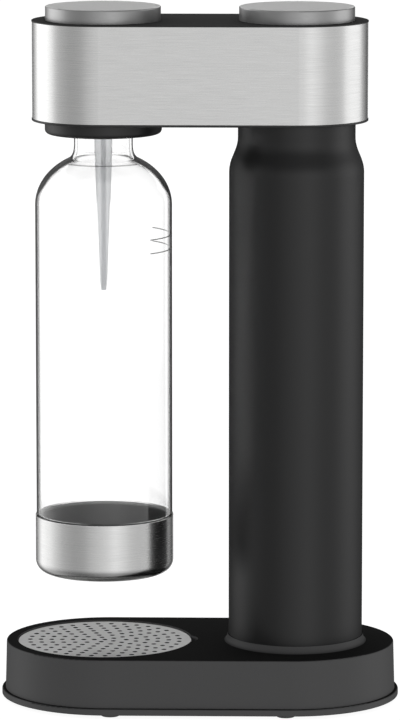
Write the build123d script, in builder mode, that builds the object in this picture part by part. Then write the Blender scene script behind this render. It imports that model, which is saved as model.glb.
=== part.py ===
"""Soda carbonator: a stadium-shaped base, a round column that holds the gas cylinder, and a head
that presses gas through a nozzle into the bottle hanging under it.

Millimetres, +Z up. X runs along the machine: the bottle is on the -X side and the column on +X.
The origin is on the table, in the middle of the footprint.
"""
from build123d import *
from math import acos, cos, degrees, radians, sin
import os

os.makedirs("parts", exist_ok=True)

# ---------------------------------------------------------------- driving dimensions
# Clearances
slip = 0.05             # radial running clearance of a shaft in its bore
fit = 0.1               # gap round a piece that is fixed in a pocket or sleeve
rest_gap = 0.2          # gap under a piece that is only held in place
free = 0.3              # gap between faces that move past each other
root = 1.0              # how far a rib or lug reaches into the wall it grows from

# Plan
axis_spacing = 112.4    # bottle axis to column axis
cylinder_radius = 30.0
cylinder_wall = 2.0
cylinder_gap = 1.8      # between the cylinder and the narrow top of the column
column_wall = 2.4
column_swell = 5.1      # how much wider the column is below its neck
head_overhang = 6.2     # head end beyond the column neck
head_end_shift = 1.2    # centres of the head's ends, outside the two axes
base_margin = 23.7      # flange beyond the column
base_end_shift = -2.2   # centres of the base's ends, inside the two axes

# Heights
foot_drop = 2.0
flange_thick = 3.9
shell_height = 28.3
bay_height = 307.9      # from the top of the base to the underside of the head
head_plate_thick = 1.35
wrap_height = 56.2
cover_rim = 0.75
cap_proud = 8.1         # the two discs above the cover

# Base
flange_overhang = 2.1
flange_edge = 0.9
plate_edge = 0.5
base_draft = 1.6        # degrees
shell_wall = 2.6
shell_edge = 0.8
boss_flare = 2.5        # the collar round the foot of the column
boss_height = 4.2
boss_lip = 0.5
sleeve_depth = 14.0
foot_radius = 5.15
foot_pocket = 1.5
foot_edge = 0.5
foot_inset = 9.6        # foot centre from the side of the flange
foot_end_inset = 66.0   # and from its end
lip_height = 3.0
lip_wall = 1.6
lip_gap = 0.4
well_rest = 30.0        # ring of the base plate that carries the floor of the well

# Screws
screw_shank = 1.5
screw_head = 3.2
screw_head_height = 2.0
screw_head_gap = 0.2
screw_sink = 0.4        # head below the surface
screw_length = 12.0
screw_key = 1.4
screw_key_depth = 1.2
screw_boss = 4.0
front_screw_inset = 14.0    # from the side of the flange
rear_screw_reach = 9.25     # beyond the column
rear_screw_angle = 50.0     # degrees

# Drip tray
well_margin = 9.4       # wall of the base round the drip tray
well_floor = 2.0
cup_wall = 2.0
cup_bevel = 1.0
grille_sheet = 0.8
grille_skirt = 3.0
grille_sink = 0.8       # below the top of the base
grille_edge = 0.6
hole_radius = 1.5
hole_rings = 7
holes_per_ring = 5      # ring n has n times as many
ring_pitch = 6.3
scoop_radius = 10.0
scoop_reach = 3.6       # beyond the edge of the well
scoop_depth = 7.0

# Hatch under the cylinder
hatch_margin = 3.0      # beyond the cylinder
hatch_thick = 3.0
hatch_rim = 2.2
hatch_gap = 0.4
grip_radius = 20.0
grip_bar = 7.0
grip_floor = 1.2
pad_inner = 16.0
pad_outer = 27.0
pad_thick = 2.2

# Bayonets of the hatch and of the rear cap
lug_angles = (0, 120, 240)
lug_thick = 2.0
lug_width = 38.0        # degrees
lug_turn = 45.0         # degrees from locked to free
notch_slack = 8.0       # degrees more than the lug
hatch_lug = 3.2
cap_lug = 1.9

# Gas cylinder and its valve
cylinder_corner = 6.0
dish_radius = 18.0
dish_rise = 1.5
dish_height = 4.0
shoulder_drop = 52.0    # shoulder of the cylinder below the head
shoulder_height = 44.0
cylinder_neck = 13.5
cylinder_neck_length = 6.0
cylinder_neck_taper = 1.5
valve_step = 0.5
valve_collar = 16.0
valve_radius = 10.5
valve_bevel = 2.0
valve_edge = 1.0
valve_well = 3.0
valve_well_gap = 0.8
flat_depth = 2.0
flat_rise = 6.0
flat_height = 7.0

# Bottle and its steel cup
bottle_radius = 39.9
bottle_wall = 1.0
shoulder_wall = 2.8     # where the dome meets the neck
bottle_shoulder = 56.1  # where the dome starts, below the rim
dome_height = 32.6
neck_radius = 17.1
neck_wall = 1.7
neck_flare = 1.2        # the dome ends this far outside the neck
neck_blend = 3.0
bottle_gap = 41.0       # from the top of the base up to the hanging bottle
push_radius = 24.0      # the dent under the bottle
push_height = 7.0
cup_sheet = 0.6
cup_height = 34.0
cup_corner = 7.5
cup_step = 0.5          # how much the bottle is drawn in where the cup holds it

# Bottle socket, gasket, nozzle and gas manifold
collar_radius = 34.05
collar_drop = 7.8
collar_edge = 2.6
mouth_bevel = 1.5
neck_engage = 14.4
socket_gap = 2.2        # room for the thread round the bottle's neck
socket_wall = 2.5
socket_roof = 3.0
socket_nut_wall = 3.6
socket_nut_height = 4.5
gasket_thick = 1.6
gasket_inset = 1.5
nozzle_radius = 5.2
nozzle_tip = 2.0
nozzle_tip_height = 5.0
nozzle_tip_bevel = 0.6
nozzle_straight = 12.0  # plain length under the collar
nozzle_shoulder = 0.15  # step where the plain length ends
nozzle_step = 0.25      # step part way down the taper
nozzle_step_drop = 41.0  # below the collar
nozzle_length = 92.0    # below the collar
nozzle_bore = 1.2
nozzle_flange = 3.6
nozzle_flange_thick = 1.8
manifold_height = 8.4
manifold_inset = 1.8    # in from the edge of the socket
manifold_screws_inset = 4.5
manifold_screw_count = 3
manifold_screw_start = 60.0
manifold_screw_sink = 0.8
manifold_screw_bite = 2.0
port_drop = 4.0
port_reach = 3.0
port_boss = 6.0         # half-width of the square bosses that the gas pipe screws into
port_depth = 10.0
pipe_radius = 2.0
pipe_bend = 9.0
pipe_nut = 6.0
rear_pipe_run = 20.0    # straight lengths of the gas pipe at its two ends
front_pipe_run = 24.0
relief_radius = 4.5
relief_offset = 16.0
relief_body = 9.0
relief_cap = 5.0
relief_step = 1.2
relief_vent = 1.2
relief_vent_depth = 3.0

# Head
wrap_sheet = 0.8
wrap_inset = 0.3        # steel wrap set in from the cover and the bottom plate
head_edge = 0.4
cover_edge = 0.3
cover_plug = 2.45
shelf_thick = 1.8
shelf_rim = 3.0
shelf_reach = 4.5
cap_margin = 6.8        # cover left round each disc
cap_gap = 0.4
cap_sheet = 0.8
cap_edge = 0.8

# Column top
neck_height = 9.5
swell_height = 20.5
spigot_step = 1.2
nut_height = 5.5
nut_wall = 4.5
nut_notches = 8
nut_notch_depth = 1.5
nut_notch_width = 6.0

# Chassis inside the head
chassis_floor = 3.0
chassis_wall = 2.5
chassis_wall_inset = 13.15
pillar_radius = 4.0
pillar_x = 14.0
deck_gap = 2.0          # front deck above the manifold
deck_length = 48.0
front_deck = 2.5
rear_deck = 3.0
rear_deck_front = 26.0  # reach of the rear deck before the cylinder's axis
rear_deck_back = 7.0    # and behind the lever's pin
guide_drop = 11.0       # top of the stem's guide below the middle of the lever
guide_wall = 3.5

# Button
button_travel = 6.0
insert_thick = 3.5
carrier_wall = 3.0
carrier_drop = 2.0
carrier_flange = 2.5
carrier_flange_thick = 1.5
carrier_ribs = 6
carrier_rib = 1.6
stem_radius = 5.0
seat_rise = 3.0
spring_wire = 1.2
spring_turns = 4.5
nose_half = 3.0
nose_height = 1.2
nose_inset = 1.0

# Lever and its pin
lever_drop = 11.65      # lever's middle below the top of the steel wrap
lever_thick = 2.5
lever_width = 12.0
lever_pivot = 27.8      # pivot beyond the cylinder's axis
pin_radius = 2.0
pin_stub = 0.5
eye_radius = 4.0
ear_inner = 9.0
ear_thick = 3.0
fork_gap = 7.6          # half the gap between the tines
fork_tine = 5.4
fork_tip = 10.0         # reach of the tines beyond the bottle's axis
fork_root = 12.0
fork_end = 24.0
rib_depth = 4.0
rib_sheet = 1.8
rib_front = 27.0        # ends of the folded edges, from the two axes
rib_back = 10.0

# Valve block and plunger
block_drop = 9.0        # top of the block below the middle of the lever
block_radius = 18.0
block_height = 15.0
block_roof = 6.5
block_port = 1.7
block_port_depth = 8.0
block_port_height = 10.0
block_port_rise = 1.6
chamber_gap = 1.4
chamber_height = 3.0
seal_thick = 0.9
plunger_radius = 2.0
plunger_head = 5.0
plunger_head_thick = 1.8
plunger_edge = 0.8
plunger_tip = 0.5       # reach of the plunger into the cylinder's valve
plunger_wire = 0.8
plunger_turns = 3.5
coil_gap = 0.8          # between a spring and the stem inside it

# ---------------------------------------------------------------- places worked out from them
bottle_x = -axis_spacing / 2
column_x = axis_spacing / 2
column_neck = cylinder_radius + cylinder_gap + column_wall
column_radius = column_neck + column_swell
head_width = 2 * (column_neck + head_overhang)
head_length = axis_spacing + 2 * head_end_shift + head_width
base_width = 2 * (column_radius + base_margin)
base_length = axis_spacing + 2 * base_end_shift + base_width

plate_top = foot_drop + flange_thick
base_top = plate_top + shell_height
head_bottom = base_top + bay_height
floor_bottom = head_bottom + head_plate_thick
floor_top = floor_bottom + chassis_floor
wrap_top = floor_bottom + wrap_height
cover_top = wrap_top + cover_rim
cap_top = cover_top + cap_proud
plug_bottom = wrap_top - cover_plug

well_radius = base_width / 2 - flange_overhang - well_margin
well_bottom = plate_top + lip_height + well_floor
tray_radius = well_radius - free
hatch_radius = cylinder_radius + hatch_margin
cap_radius = head_width / 2 - cap_margin
spigot_radius = column_neck - spigot_step
spigot_top = floor_top + nut_height

collar_bottom = head_bottom - collar_drop
bottle_top = collar_bottom + neck_engage
bottle_bottom = base_top + bottle_gap
socket_bore = neck_radius + socket_gap
socket_radius = socket_bore + socket_wall
gasket_bottom = bottle_top + free
gasket_top = gasket_bottom + gasket_thick
socket_top = gasket_top + socket_roof
manifold_radius = socket_radius - manifold_inset
manifold_top = socket_top + manifold_height
port_z = manifold_top - port_drop
front_port = bottle_x + manifold_radius + port_reach

lever_z = wrap_top - lever_drop
lever_top = lever_z + lever_thick / 2
lever_bottom = lever_z - lever_thick / 2
pivot_x = column_x + lever_pivot
hub_bottom = lever_top + free
guide_top = lever_z - guide_drop
block_top = lever_z - block_drop
block_bottom = block_top - block_height
bore_top = block_top - block_roof
valve_top = bore_top - seal_thick - fit
plunger_top = lever_bottom - free
rear_port = column_x - block_radius - block_port
rear_port_z = bore_top + block_port_rise
cylinder_bottom = foot_drop + hatch_thick + pad_thick + free
shoulder_z = head_bottom - shoulder_drop
cylinder_top = shoulder_z + shoulder_height
chassis_width = head_width - 2 * (wrap_inset + wrap_sheet + fit)
chassis_length = head_length - head_width + chassis_width
chassis_wall_y = head_width / 2 - chassis_wall_inset

bottle_axis = Axis((bottle_x, 0, 0), (0, 0, 1))
column_axis = Axis((column_x, 0, 0), (0, 0, 1))
bottle_section = Plane((bottle_x, 0, 0), x_dir=(1, 0, 0), z_dir=(0, -1, 0))
column_section = Plane((column_x, 0, 0), x_dir=(1, 0, 0), z_dir=(0, -1, 0))


# ---------------------------------------------------------------- helpers
def level(x, z):
    """A horizontal plane at height z, centred on one of the machine's two axes."""
    return Plane((x, 0, z))


def across(x, z):
    """A plane square to X, for what is bored or set along the machine."""
    return Plane((x, 0, z), x_dir=(0, 1, 0), z_dir=(1, 0, 0))


def outline(*points):
    """Fill a closed outline of straight edges in the sketch at hand."""
    Polygon(*points, align=None)


def band(inner, outer, bottom, top):
    """Fill the half-section of a plain ring, to be turned about its axis."""
    outline((inner, bottom), (outer, bottom), (outer, top), (inner, top))


def sector(inner, outer, middle, width):
    """Fill a sector of a ring in the sketch at hand, its angles in degrees."""
    start = middle - width / 2
    with BuildLine() as border:
        rim = CenterArc((0, 0), outer, start, width)
        bore = CenterArc((0, 0), inner, start, width)
        Line(rim @ 0, bore @ 0)
        Line(rim @ 1, bore @ 1)
    make_face(border.edges())


def coil(x, bottom, top, radius, wire, turns):
    """The centre line of a coil spring that stands between two seats."""
    height = top - bottom - wire
    with BuildLine() as line:
        Helix(height / turns, height, radius, center=(x, 0, bottom + wire / 2))
    return line.edges()[0]


def save(builder, name):
    """Label a finished piece and write its STEP file."""
    builder.part.label = name
    export_step(builder.part, f"parts/{name}.step")


# ---------------------------------------------------------------- base shell
shell_length = base_length - 2 * flange_overhang
shell_width = base_width - 2 * flange_overhang
sleeve_radius = column_radius + fit
boss_radius = column_radius + boss_flare
boss_top = base_top + boss_height
scoop_x = bottle_x + well_radius + scoop_reach - scoop_radius
scoop_bottom = base_top - scoop_depth

rear_screw = column_radius + rear_screw_reach
rear_screw_x = column_x + rear_screw * cos(radians(rear_screw_angle))
rear_screw_y = rear_screw * sin(radians(rear_screw_angle))
screw_spots = [(0, base_width / 2 - front_screw_inset), (rear_screw_x, rear_screw_y)]
screw_spots += [(x, -y) for x, y in screw_spots]

with BuildPart() as base_shell:
    with BuildSketch(Plane.XY.offset(plate_top)):
        SlotOverall(shell_length, shell_width)
    extrude(amount=shell_height, taper=base_draft)
    fillet(base_shell.faces().sort_by(Axis.Z)[-1].edges(), shell_edge)
    with BuildSketch(Plane.XY.offset(plate_top)):
        SlotOverall(shell_length - 2 * shell_wall, shell_width - 2 * shell_wall)
    extrude(amount=shell_height - shell_wall, taper=base_draft, mode=Mode.SUBTRACT)
    # the well for the drip tray, with its finger scoop
    with BuildSketch(level(bottle_x, well_bottom - well_floor)):
        Circle(well_radius + cup_wall)
    extrude(amount=base_top - shell_wall - well_bottom + well_floor)
    with BuildSketch(level(scoop_x, scoop_bottom - cup_wall)):
        Circle(scoop_radius + cup_wall)
    extrude(amount=scoop_depth)
    with BuildSketch(level(bottle_x, well_bottom)):
        Circle(well_radius)
    extrude(amount=base_top, mode=Mode.SUBTRACT)
    with BuildSketch(level(scoop_x, scoop_bottom)):
        Circle(scoop_radius)
    extrude(amount=base_top, mode=Mode.SUBTRACT)
    # the sleeve round the column and the flared boss on top of it
    with BuildSketch(column_section):
        band(sleeve_radius, sleeve_radius + cup_wall, base_top - sleeve_depth, base_top - root)
        with BuildLine():
            flare = Spline(
                (boss_radius, base_top),
                (sleeve_radius + boss_lip, boss_top),
                tangents=[(-1, 0.5), (-0.1, 1)],
            )
            Polyline(
                flare @ 1,
                (sleeve_radius, boss_top),
                (sleeve_radius, base_top - root),
                (boss_radius, base_top - root),
                flare @ 0,
            )
        make_face()
    revolve(axis=column_axis)
    with BuildSketch(level(column_x, plate_top)):
        Circle(sleeve_radius)
    extrude(amount=base_top, mode=Mode.SUBTRACT)
    # screw bosses
    with BuildSketch(Plane.XY.offset(plate_top)):
        with Locations(*screw_spots):
            Circle(screw_boss)
    extrude(amount=shell_height - shell_wall)
    with BuildSketch(Plane.XY.offset(plate_top)):
        with Locations(*screw_spots):
            Circle(screw_shank + slip)
    extrude(amount=screw_length, mode=Mode.SUBTRACT)
save(base_shell, "base_shell")

# ---------------------------------------------------------------- base plate, feet and screws
foot_x = base_length / 2 - foot_end_inset
foot_y = base_width / 2 - foot_inset
foot_spots = {
    "foot_front_left": (-foot_x, foot_y),
    "foot_front_right": (-foot_x, -foot_y),
    "foot_rear_left": (foot_x, foot_y),
    "foot_rear_right": (foot_x, -foot_y),
}
lip_inset = 2 * (flange_overhang + shell_wall + lip_gap)
lip_length = base_length - lip_inset
lip_width = base_width - lip_inset
notch_radius = hatch_radius + hatch_lug + free
shank_bottom = foot_drop + screw_sink + screw_head_height

with BuildPart() as base_plate:
    with BuildSketch(Plane.XY.offset(foot_drop)):
        SlotOverall(base_length, base_width)
    extrude(amount=flange_thick)
    fillet(base_plate.edges().group_by(Axis.Z)[-1], flange_edge)
    fillet(base_plate.edges().group_by(Axis.Z)[0], plate_edge)
    # the lip inside the shell and the ring that carries the floor of the well
    with BuildSketch(Plane.XY.offset(plate_top)):
        SlotOverall(lip_length, lip_width)
        SlotOverall(lip_length - 2 * lip_wall, lip_width - 2 * lip_wall, mode=Mode.SUBTRACT)
        with Locations((bottle_x, 0)):
            Circle(well_rest + lip_wall)
            Circle(well_rest, mode=Mode.SUBTRACT)
    extrude(amount=lip_height)
    # the opening for the hatch, with a notch for each of its lugs
    with BuildSketch(level(column_x, foot_drop)):
        Circle(hatch_radius + hatch_gap)
        for middle in lug_angles:
            sector(hatch_radius - root, notch_radius, middle - lug_turn, lug_width + notch_slack)
    extrude(amount=flange_thick, mode=Mode.SUBTRACT)
    with BuildSketch(Plane.XY.offset(foot_drop)):
        with Locations(*foot_spots.values()):
            Circle(foot_radius + fit)
    extrude(amount=foot_pocket, mode=Mode.SUBTRACT)
    with BuildSketch(Plane.XY.offset(foot_drop)):
        with Locations(*screw_spots):
            Circle(screw_shank + fit)
    extrude(amount=flange_thick, mode=Mode.SUBTRACT)
    with BuildSketch(Plane.XY.offset(foot_drop)):
        with Locations(*screw_spots):
            Circle(screw_head + screw_head_gap)
    extrude(amount=screw_sink + screw_head_height, mode=Mode.SUBTRACT)
save(base_plate, "base_plate")

for name, (x, y) in foot_spots.items():
    with BuildPart() as foot:
        with BuildSketch(Plane((x, y, 0))):
            Circle(foot_radius)
        extrude(amount=foot_drop + foot_pocket)
        fillet(foot.edges().group_by(Axis.Z)[0], foot_edge)
    save(foot, name)

with BuildPart() as base_screws:
    with BuildSketch(Plane.XY.offset(foot_drop + screw_sink)):
        with Locations(*screw_spots):
            Circle(screw_head)
    extrude(amount=screw_head_height)
    with BuildSketch(Plane.XY.offset(shank_bottom)):
        with Locations(*screw_spots):
            Circle(screw_shank)
    extrude(amount=screw_length)
    with BuildSketch(Plane.XY.offset(foot_drop + screw_sink)):
        with Locations(*screw_spots):
            RegularPolygon(screw_key, 6)
    extrude(amount=screw_key_depth, mode=Mode.SUBTRACT)
save(base_screws, "base_screws")

# ---------------------------------------------------------------- hatch under the cylinder
hatch_top = plate_top + rest_gap + lug_thick
pad_bottom = foot_drop + hatch_thick

with BuildPart() as hatch:
    with BuildSketch(column_section):
        band(0, hatch_radius, foot_drop, foot_drop + hatch_thick)
        band(hatch_radius - hatch_rim, hatch_radius, foot_drop, hatch_top)
    revolve(axis=column_axis)
    with BuildSketch(level(column_x, hatch_top - lug_thick)):
        for middle in lug_angles:
            sector(hatch_radius - root, hatch_radius + hatch_lug, middle, lug_width)
    extrude(amount=lug_thick)
    # a round recess with a bar across it, to turn the hatch by
    with BuildSketch(level(column_x, foot_drop)):
        Circle(grip_radius)
        Rectangle(2 * grip_radius, grip_bar, mode=Mode.SUBTRACT)
    extrude(amount=hatch_thick - grip_floor, mode=Mode.SUBTRACT)
save(hatch, "hatch")

with BuildPart() as hatch_pad:
    with BuildSketch(column_section):
        band(pad_inner, pad_outer, pad_bottom, pad_bottom + pad_thick)
    revolve(axis=column_axis)
save(hatch_pad, "hatch_pad")

# ---------------------------------------------------------------- drip cup and grille
grille_top = base_top - grille_sink
grille_bottom = grille_top - grille_skirt
cup_foot = well_bottom + rest_gap
cup_floor = cup_foot + cup_wall
cup_rim = grille_top - grille_sheet
cup_shoulder = grille_bottom - free
cup_inner = tray_radius - grille_sheet - free - cup_wall

with BuildPart() as drip_cup:
    with BuildSketch(bottle_section):
        outline(
            (0, cup_foot),
            (tray_radius - cup_bevel, cup_foot),
            (tray_radius, cup_foot + cup_bevel),
            (tray_radius, cup_shoulder),
            (cup_inner + cup_wall, cup_shoulder),
            (cup_inner + cup_wall, cup_rim),
            (cup_inner, cup_rim),
            (cup_inner, cup_floor + 2 * cup_bevel),
            (cup_inner - 2 * cup_bevel, cup_floor),
            (0, cup_floor),
        )
    revolve(axis=bottle_axis)
save(drip_cup, "drip_cup")

with BuildPart() as drip_grille:
    with BuildSketch(level(bottle_x, grille_bottom)):
        Circle(tray_radius)
    extrude(amount=grille_skirt)
    fillet(drip_grille.edges().group_by(Axis.Z)[-1], grille_edge)
    with BuildSketch(level(bottle_x, grille_bottom)):
        Circle(tray_radius - grille_sheet)
    extrude(amount=grille_skirt - grille_sheet, mode=Mode.SUBTRACT)
    with BuildSketch(level(bottle_x, cup_rim)):
        Circle(hole_radius)
        for ring in range(1, hole_rings + 1):
            with PolarLocations(ring * ring_pitch, ring * holes_per_ring, start_angle=180):
                Circle(hole_radius)
    extrude(amount=grille_sheet, mode=Mode.SUBTRACT)
save(drip_grille, "drip_grille")

# ---------------------------------------------------------------- column
swell_top = head_bottom - neck_height
swell_bottom = swell_top - swell_height

with BuildPart() as column:
    with BuildSketch(column_section):
        with BuildLine():
            swell = Spline(
                (column_radius, swell_bottom),
                (column_neck, swell_top),
                tangents=[(0, 1), (0, 1)],
            )
            Polyline(
                swell @ 1,
                (column_neck, head_bottom),
                (spigot_radius, head_bottom),
                (spigot_radius, spigot_top),
                (column_neck - column_wall, spigot_top),
                (column_neck - column_wall, swell_top - column_wall),
                (column_radius - column_wall, swell_bottom),
                (column_radius - column_wall, plate_top),
                (column_radius, plate_top),
                swell @ 0,
            )
        make_face()
    revolve(axis=column_axis)
save(column, "column")

with BuildPart() as column_nut:
    with BuildSketch(column_section):
        band(spigot_radius + slip, spigot_radius + nut_wall, floor_top, spigot_top)
    revolve(axis=column_axis)
    with BuildSketch(level(column_x, floor_top)):
        with PolarLocations(spigot_radius + nut_wall, nut_notches):
            Rectangle(2 * nut_notch_depth, nut_notch_width)
    extrude(amount=nut_height, mode=Mode.SUBTRACT)
save(column_nut, "column_nut")


# ---------------------------------------------------------------- gas cylinder
def cylinder_edges(wall):
    """Outline of half the gas cylinder, drawn in by the thickness of a wall."""
    side = cylinder_radius - wall
    neck = cylinder_neck - 2 * wall
    foot = cylinder_bottom + wall
    corner = cylinder_corner - wall
    taper_point = (neck + cylinder_neck_taper, cylinder_top - cylinder_neck_length)
    with BuildLine() as border:
        Polyline((0, foot + dish_height), (dish_radius, foot + dish_rise), (side - corner, foot))
        RadiusArc((side - corner, foot), (side, foot + corner), -corner)
        Line((side, foot + corner), (side, shoulder_z))
        Spline((side, shoulder_z), taper_point, (neck, cylinder_top), tangents=[(0, 1), (0, 1)])
        Polyline((neck, cylinder_top), (0, cylinder_top), (0, foot + dish_height))
    return border.edges()


with BuildPart() as cylinder:
    with BuildSketch(column_section):
        make_face(cylinder_edges(0))
    revolve(axis=column_axis)
    with BuildSketch(column_section):
        make_face(cylinder_edges(cylinder_wall))
    revolve(axis=column_axis, mode=Mode.SUBTRACT)
save(cylinder, "cylinder")

collar_side = cylinder_neck - valve_step
valve_shoulder = cylinder_top + valve_collar
well_side = plunger_radius + valve_well_gap

with BuildPart() as cylinder_valve:
    with BuildSketch(column_section):
        outline(
            (0, cylinder_top),
            (collar_side, cylinder_top),
            (collar_side, valve_shoulder),
            (valve_radius, valve_shoulder + valve_bevel),
            (valve_radius, valve_top - valve_edge),
            (valve_radius - valve_edge, valve_top),
            (well_side, valve_top),
            (well_side, valve_top - valve_well),
            (0, valve_top - valve_well),
        )
    revolve(axis=column_axis)
    # two flats for a spanner
    with BuildSketch(level(column_x, cylinder_top + flat_rise)):
        with Locations((0, cylinder_neck), (0, -cylinder_neck)):
            Rectangle(2 * cylinder_neck, 2 * flat_depth)
    extrude(amount=flat_height, mode=Mode.SUBTRACT)
save(cylinder_valve, "cylinder_valve")

# ---------------------------------------------------------------- head: bottom plate, steel wrap, cover
with BuildPart() as head_plate:
    with BuildSketch(Plane.XY.offset(head_bottom)):
        SlotOverall(head_length, head_width)
    extrude(amount=head_plate_thick)
    fillet(head_plate.edges().group_by(Axis.Z)[0], head_edge)
    with BuildSketch(Plane.XY.offset(head_bottom)):
        with Locations((column_x, 0)):
            Circle(spigot_radius + slip)
        with Locations((bottle_x, 0)):
            Circle(socket_radius + slip)
    extrude(amount=head_plate_thick, mode=Mode.SUBTRACT)
save(head_plate, "head_plate")

wrap_length = head_length - 2 * wrap_inset
wrap_width = head_width - 2 * wrap_inset

with BuildPart() as head_wrap:
    with BuildSketch(Plane.XY.offset(floor_bottom)):
        SlotOverall(wrap_length, wrap_width)
        SlotOverall(wrap_length - 2 * wrap_sheet, wrap_width - 2 * wrap_sheet, mode=Mode.SUBTRACT)
    extrude(amount=wrap_height)
save(head_wrap, "head_wrap")

shelf_bottom = plug_bottom - shelf_thick
shelf_bore = cap_radius - shelf_reach
cap_notch = shelf_bore + cap_lug + free

with BuildPart() as head_cover:
    with BuildSketch(Plane.XY.offset(wrap_top)):
        SlotOverall(head_length, head_width)
    extrude(amount=cover_rim)
    fillet(head_cover.edges().group_by(Axis.Z)[-1], cover_edge)
    with BuildSketch(Plane.XY.offset(plug_bottom)):
        SlotOverall(chassis_length, chassis_width)
    extrude(amount=cover_plug)
    with BuildSketch(level(column_x, shelf_bottom)):
        Circle(cap_radius + shelf_rim)
    extrude(amount=shelf_thick)
    for cap_x in (bottle_x, column_x):
        with BuildSketch(level(cap_x, plug_bottom)):
            Circle(cap_radius + cap_gap)
        extrude(amount=cap_proud, mode=Mode.SUBTRACT)
    # the shelf that holds the lugs of the rear cap, with a notch to let each one out
    with BuildSketch(level(column_x, shelf_bottom)):
        Circle(shelf_bore)
        for middle in lug_angles:
            sector(shelf_bore - root, cap_notch, middle + lug_turn, lug_width + notch_slack)
    extrude(amount=shelf_thick, mode=Mode.SUBTRACT)
save(head_cover, "head_cover")

# ---------------------------------------------------------------- bottle socket, gasket, nozzle, manifold
screw_circle = manifold_radius - manifold_screws_inset
screw_seat = manifold_top - manifold_screw_sink - screw_head_height
screw_tip = gasket_top + socket_roof - manifold_screw_bite
nozzle_end = collar_bottom - nozzle_length
nozzle_shoulder_z = collar_bottom - nozzle_straight
nozzle_step_z = collar_bottom - nozzle_step_drop
taper_start = nozzle_end + nozzle_tip_height
nozzle_taper = (nozzle_radius - nozzle_tip) / (nozzle_shoulder_z - taper_start)
nozzle_step_radius = nozzle_tip + nozzle_taper * (nozzle_step_z - taper_start)
flange_radius = nozzle_radius + nozzle_flange
flange_top = socket_top + nozzle_flange_thick
socket_nut_top = floor_top + socket_nut_height


def screw_pattern():
    """Places of the manifold's screws round the nozzle."""
    return PolarLocations(screw_circle, manifold_screw_count, start_angle=manifold_screw_start)


with BuildPart() as bottle_socket:
    with BuildSketch(bottle_section):
        with BuildLine():
            corner = RadiusArc(
                (collar_radius - collar_edge, collar_bottom),
                (collar_radius, collar_bottom + collar_edge),
                -collar_edge,
            )
            Polyline(
                corner @ 1,
                (collar_radius, head_bottom),
                (socket_radius, head_bottom),
                (socket_radius, socket_top),
                (nozzle_radius + fit, socket_top),
                (nozzle_radius + fit, gasket_top),
                (socket_bore, gasket_top),
                (socket_bore, collar_bottom + mouth_bevel),
                (socket_bore + mouth_bevel, collar_bottom),
                corner @ 0,
            )
        make_face()
    revolve(axis=bottle_axis)
    with BuildSketch(level(bottle_x, screw_tip)):
        with screw_pattern():
            Circle(screw_shank + slip)
    extrude(amount=socket_roof, mode=Mode.SUBTRACT)
save(bottle_socket, "bottle_socket")

with BuildPart() as socket_nut:
    with BuildSketch(bottle_section):
        band(socket_radius + slip, socket_radius + socket_nut_wall, floor_top, socket_nut_top)
    revolve(axis=bottle_axis)
save(socket_nut, "socket_nut")

with BuildPart() as bottle_gasket:
    with BuildSketch(bottle_section):
        band(neck_radius - neck_wall - gasket_inset, socket_bore - fit, gasket_bottom, gasket_top)
    revolve(axis=bottle_axis)
save(bottle_gasket, "bottle_gasket")

with BuildPart() as nozzle:
    with BuildSketch(bottle_section):
        outline(
            (nozzle_bore, nozzle_end),
            (nozzle_tip - nozzle_tip_bevel, nozzle_end),
            (nozzle_tip, taper_start),
            (nozzle_step_radius - nozzle_step, nozzle_step_z),
            (nozzle_step_radius, nozzle_step_z),
            (nozzle_radius - nozzle_shoulder, nozzle_shoulder_z),
            (nozzle_radius, nozzle_shoulder_z),
            (nozzle_radius, socket_top),
            (flange_radius, socket_top),
            (flange_radius, flange_top),
            (nozzle_bore, flange_top),
        )
    revolve(axis=bottle_axis)
save(nozzle, "nozzle")

with BuildPart() as manifold:
    with BuildSketch(bottle_section):
        outline(
            (0, flange_top + fit),
            (flange_radius + fit, flange_top + fit),
            (flange_radius + fit, socket_top),
            (manifold_radius, socket_top),
            (manifold_radius, manifold_top),
            (0, manifold_top),
        )
    revolve(axis=bottle_axis)
    with BuildSketch(Plane.XY.offset(socket_top)):
        with Locations((front_port - port_depth / 2, 0)):
            Rectangle(port_depth, 2 * port_boss)
    extrude(amount=manifold_height)
    # gas way: in from the port and down to the nozzle
    with BuildSketch(across(front_port, port_z)):
        Circle(nozzle_bore)
    extrude(amount=bottle_x - nozzle_bore - front_port, mode=Mode.SUBTRACT)
    with BuildSketch(level(bottle_x, socket_top)):
        Circle(nozzle_bore)
    extrude(amount=port_z - socket_top, mode=Mode.SUBTRACT)
    with BuildSketch(level(bottle_x, socket_top)):
        with screw_pattern():
            Circle(screw_shank + fit)
    extrude(amount=manifold_height, mode=Mode.SUBTRACT)
    with BuildSketch(level(bottle_x, screw_seat)):
        with screw_pattern():
            Circle(screw_head + screw_head_gap)
    extrude(amount=screw_head_height + manifold_screw_sink, mode=Mode.SUBTRACT)
save(manifold, "manifold")

with BuildPart() as manifold_screws:
    with BuildSketch(level(bottle_x, screw_seat)):
        with screw_pattern():
            Circle(screw_head)
    extrude(amount=screw_head_height)
    with BuildSketch(level(bottle_x, screw_tip)):
        with screw_pattern():
            Circle(screw_shank)
    extrude(amount=screw_seat - screw_tip)
save(manifold_screws, "manifold_screws")

# ---------------------------------------------------------------- bottle and its steel cup
dome_z = bottle_top - bottle_shoulder
bottle_foot = bottle_bottom + cup_sheet
recess_radius = bottle_radius - cup_step
recess_top = bottle_bottom + cup_height + cup_step
cup_radius = bottle_radius + cup_sheet


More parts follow.
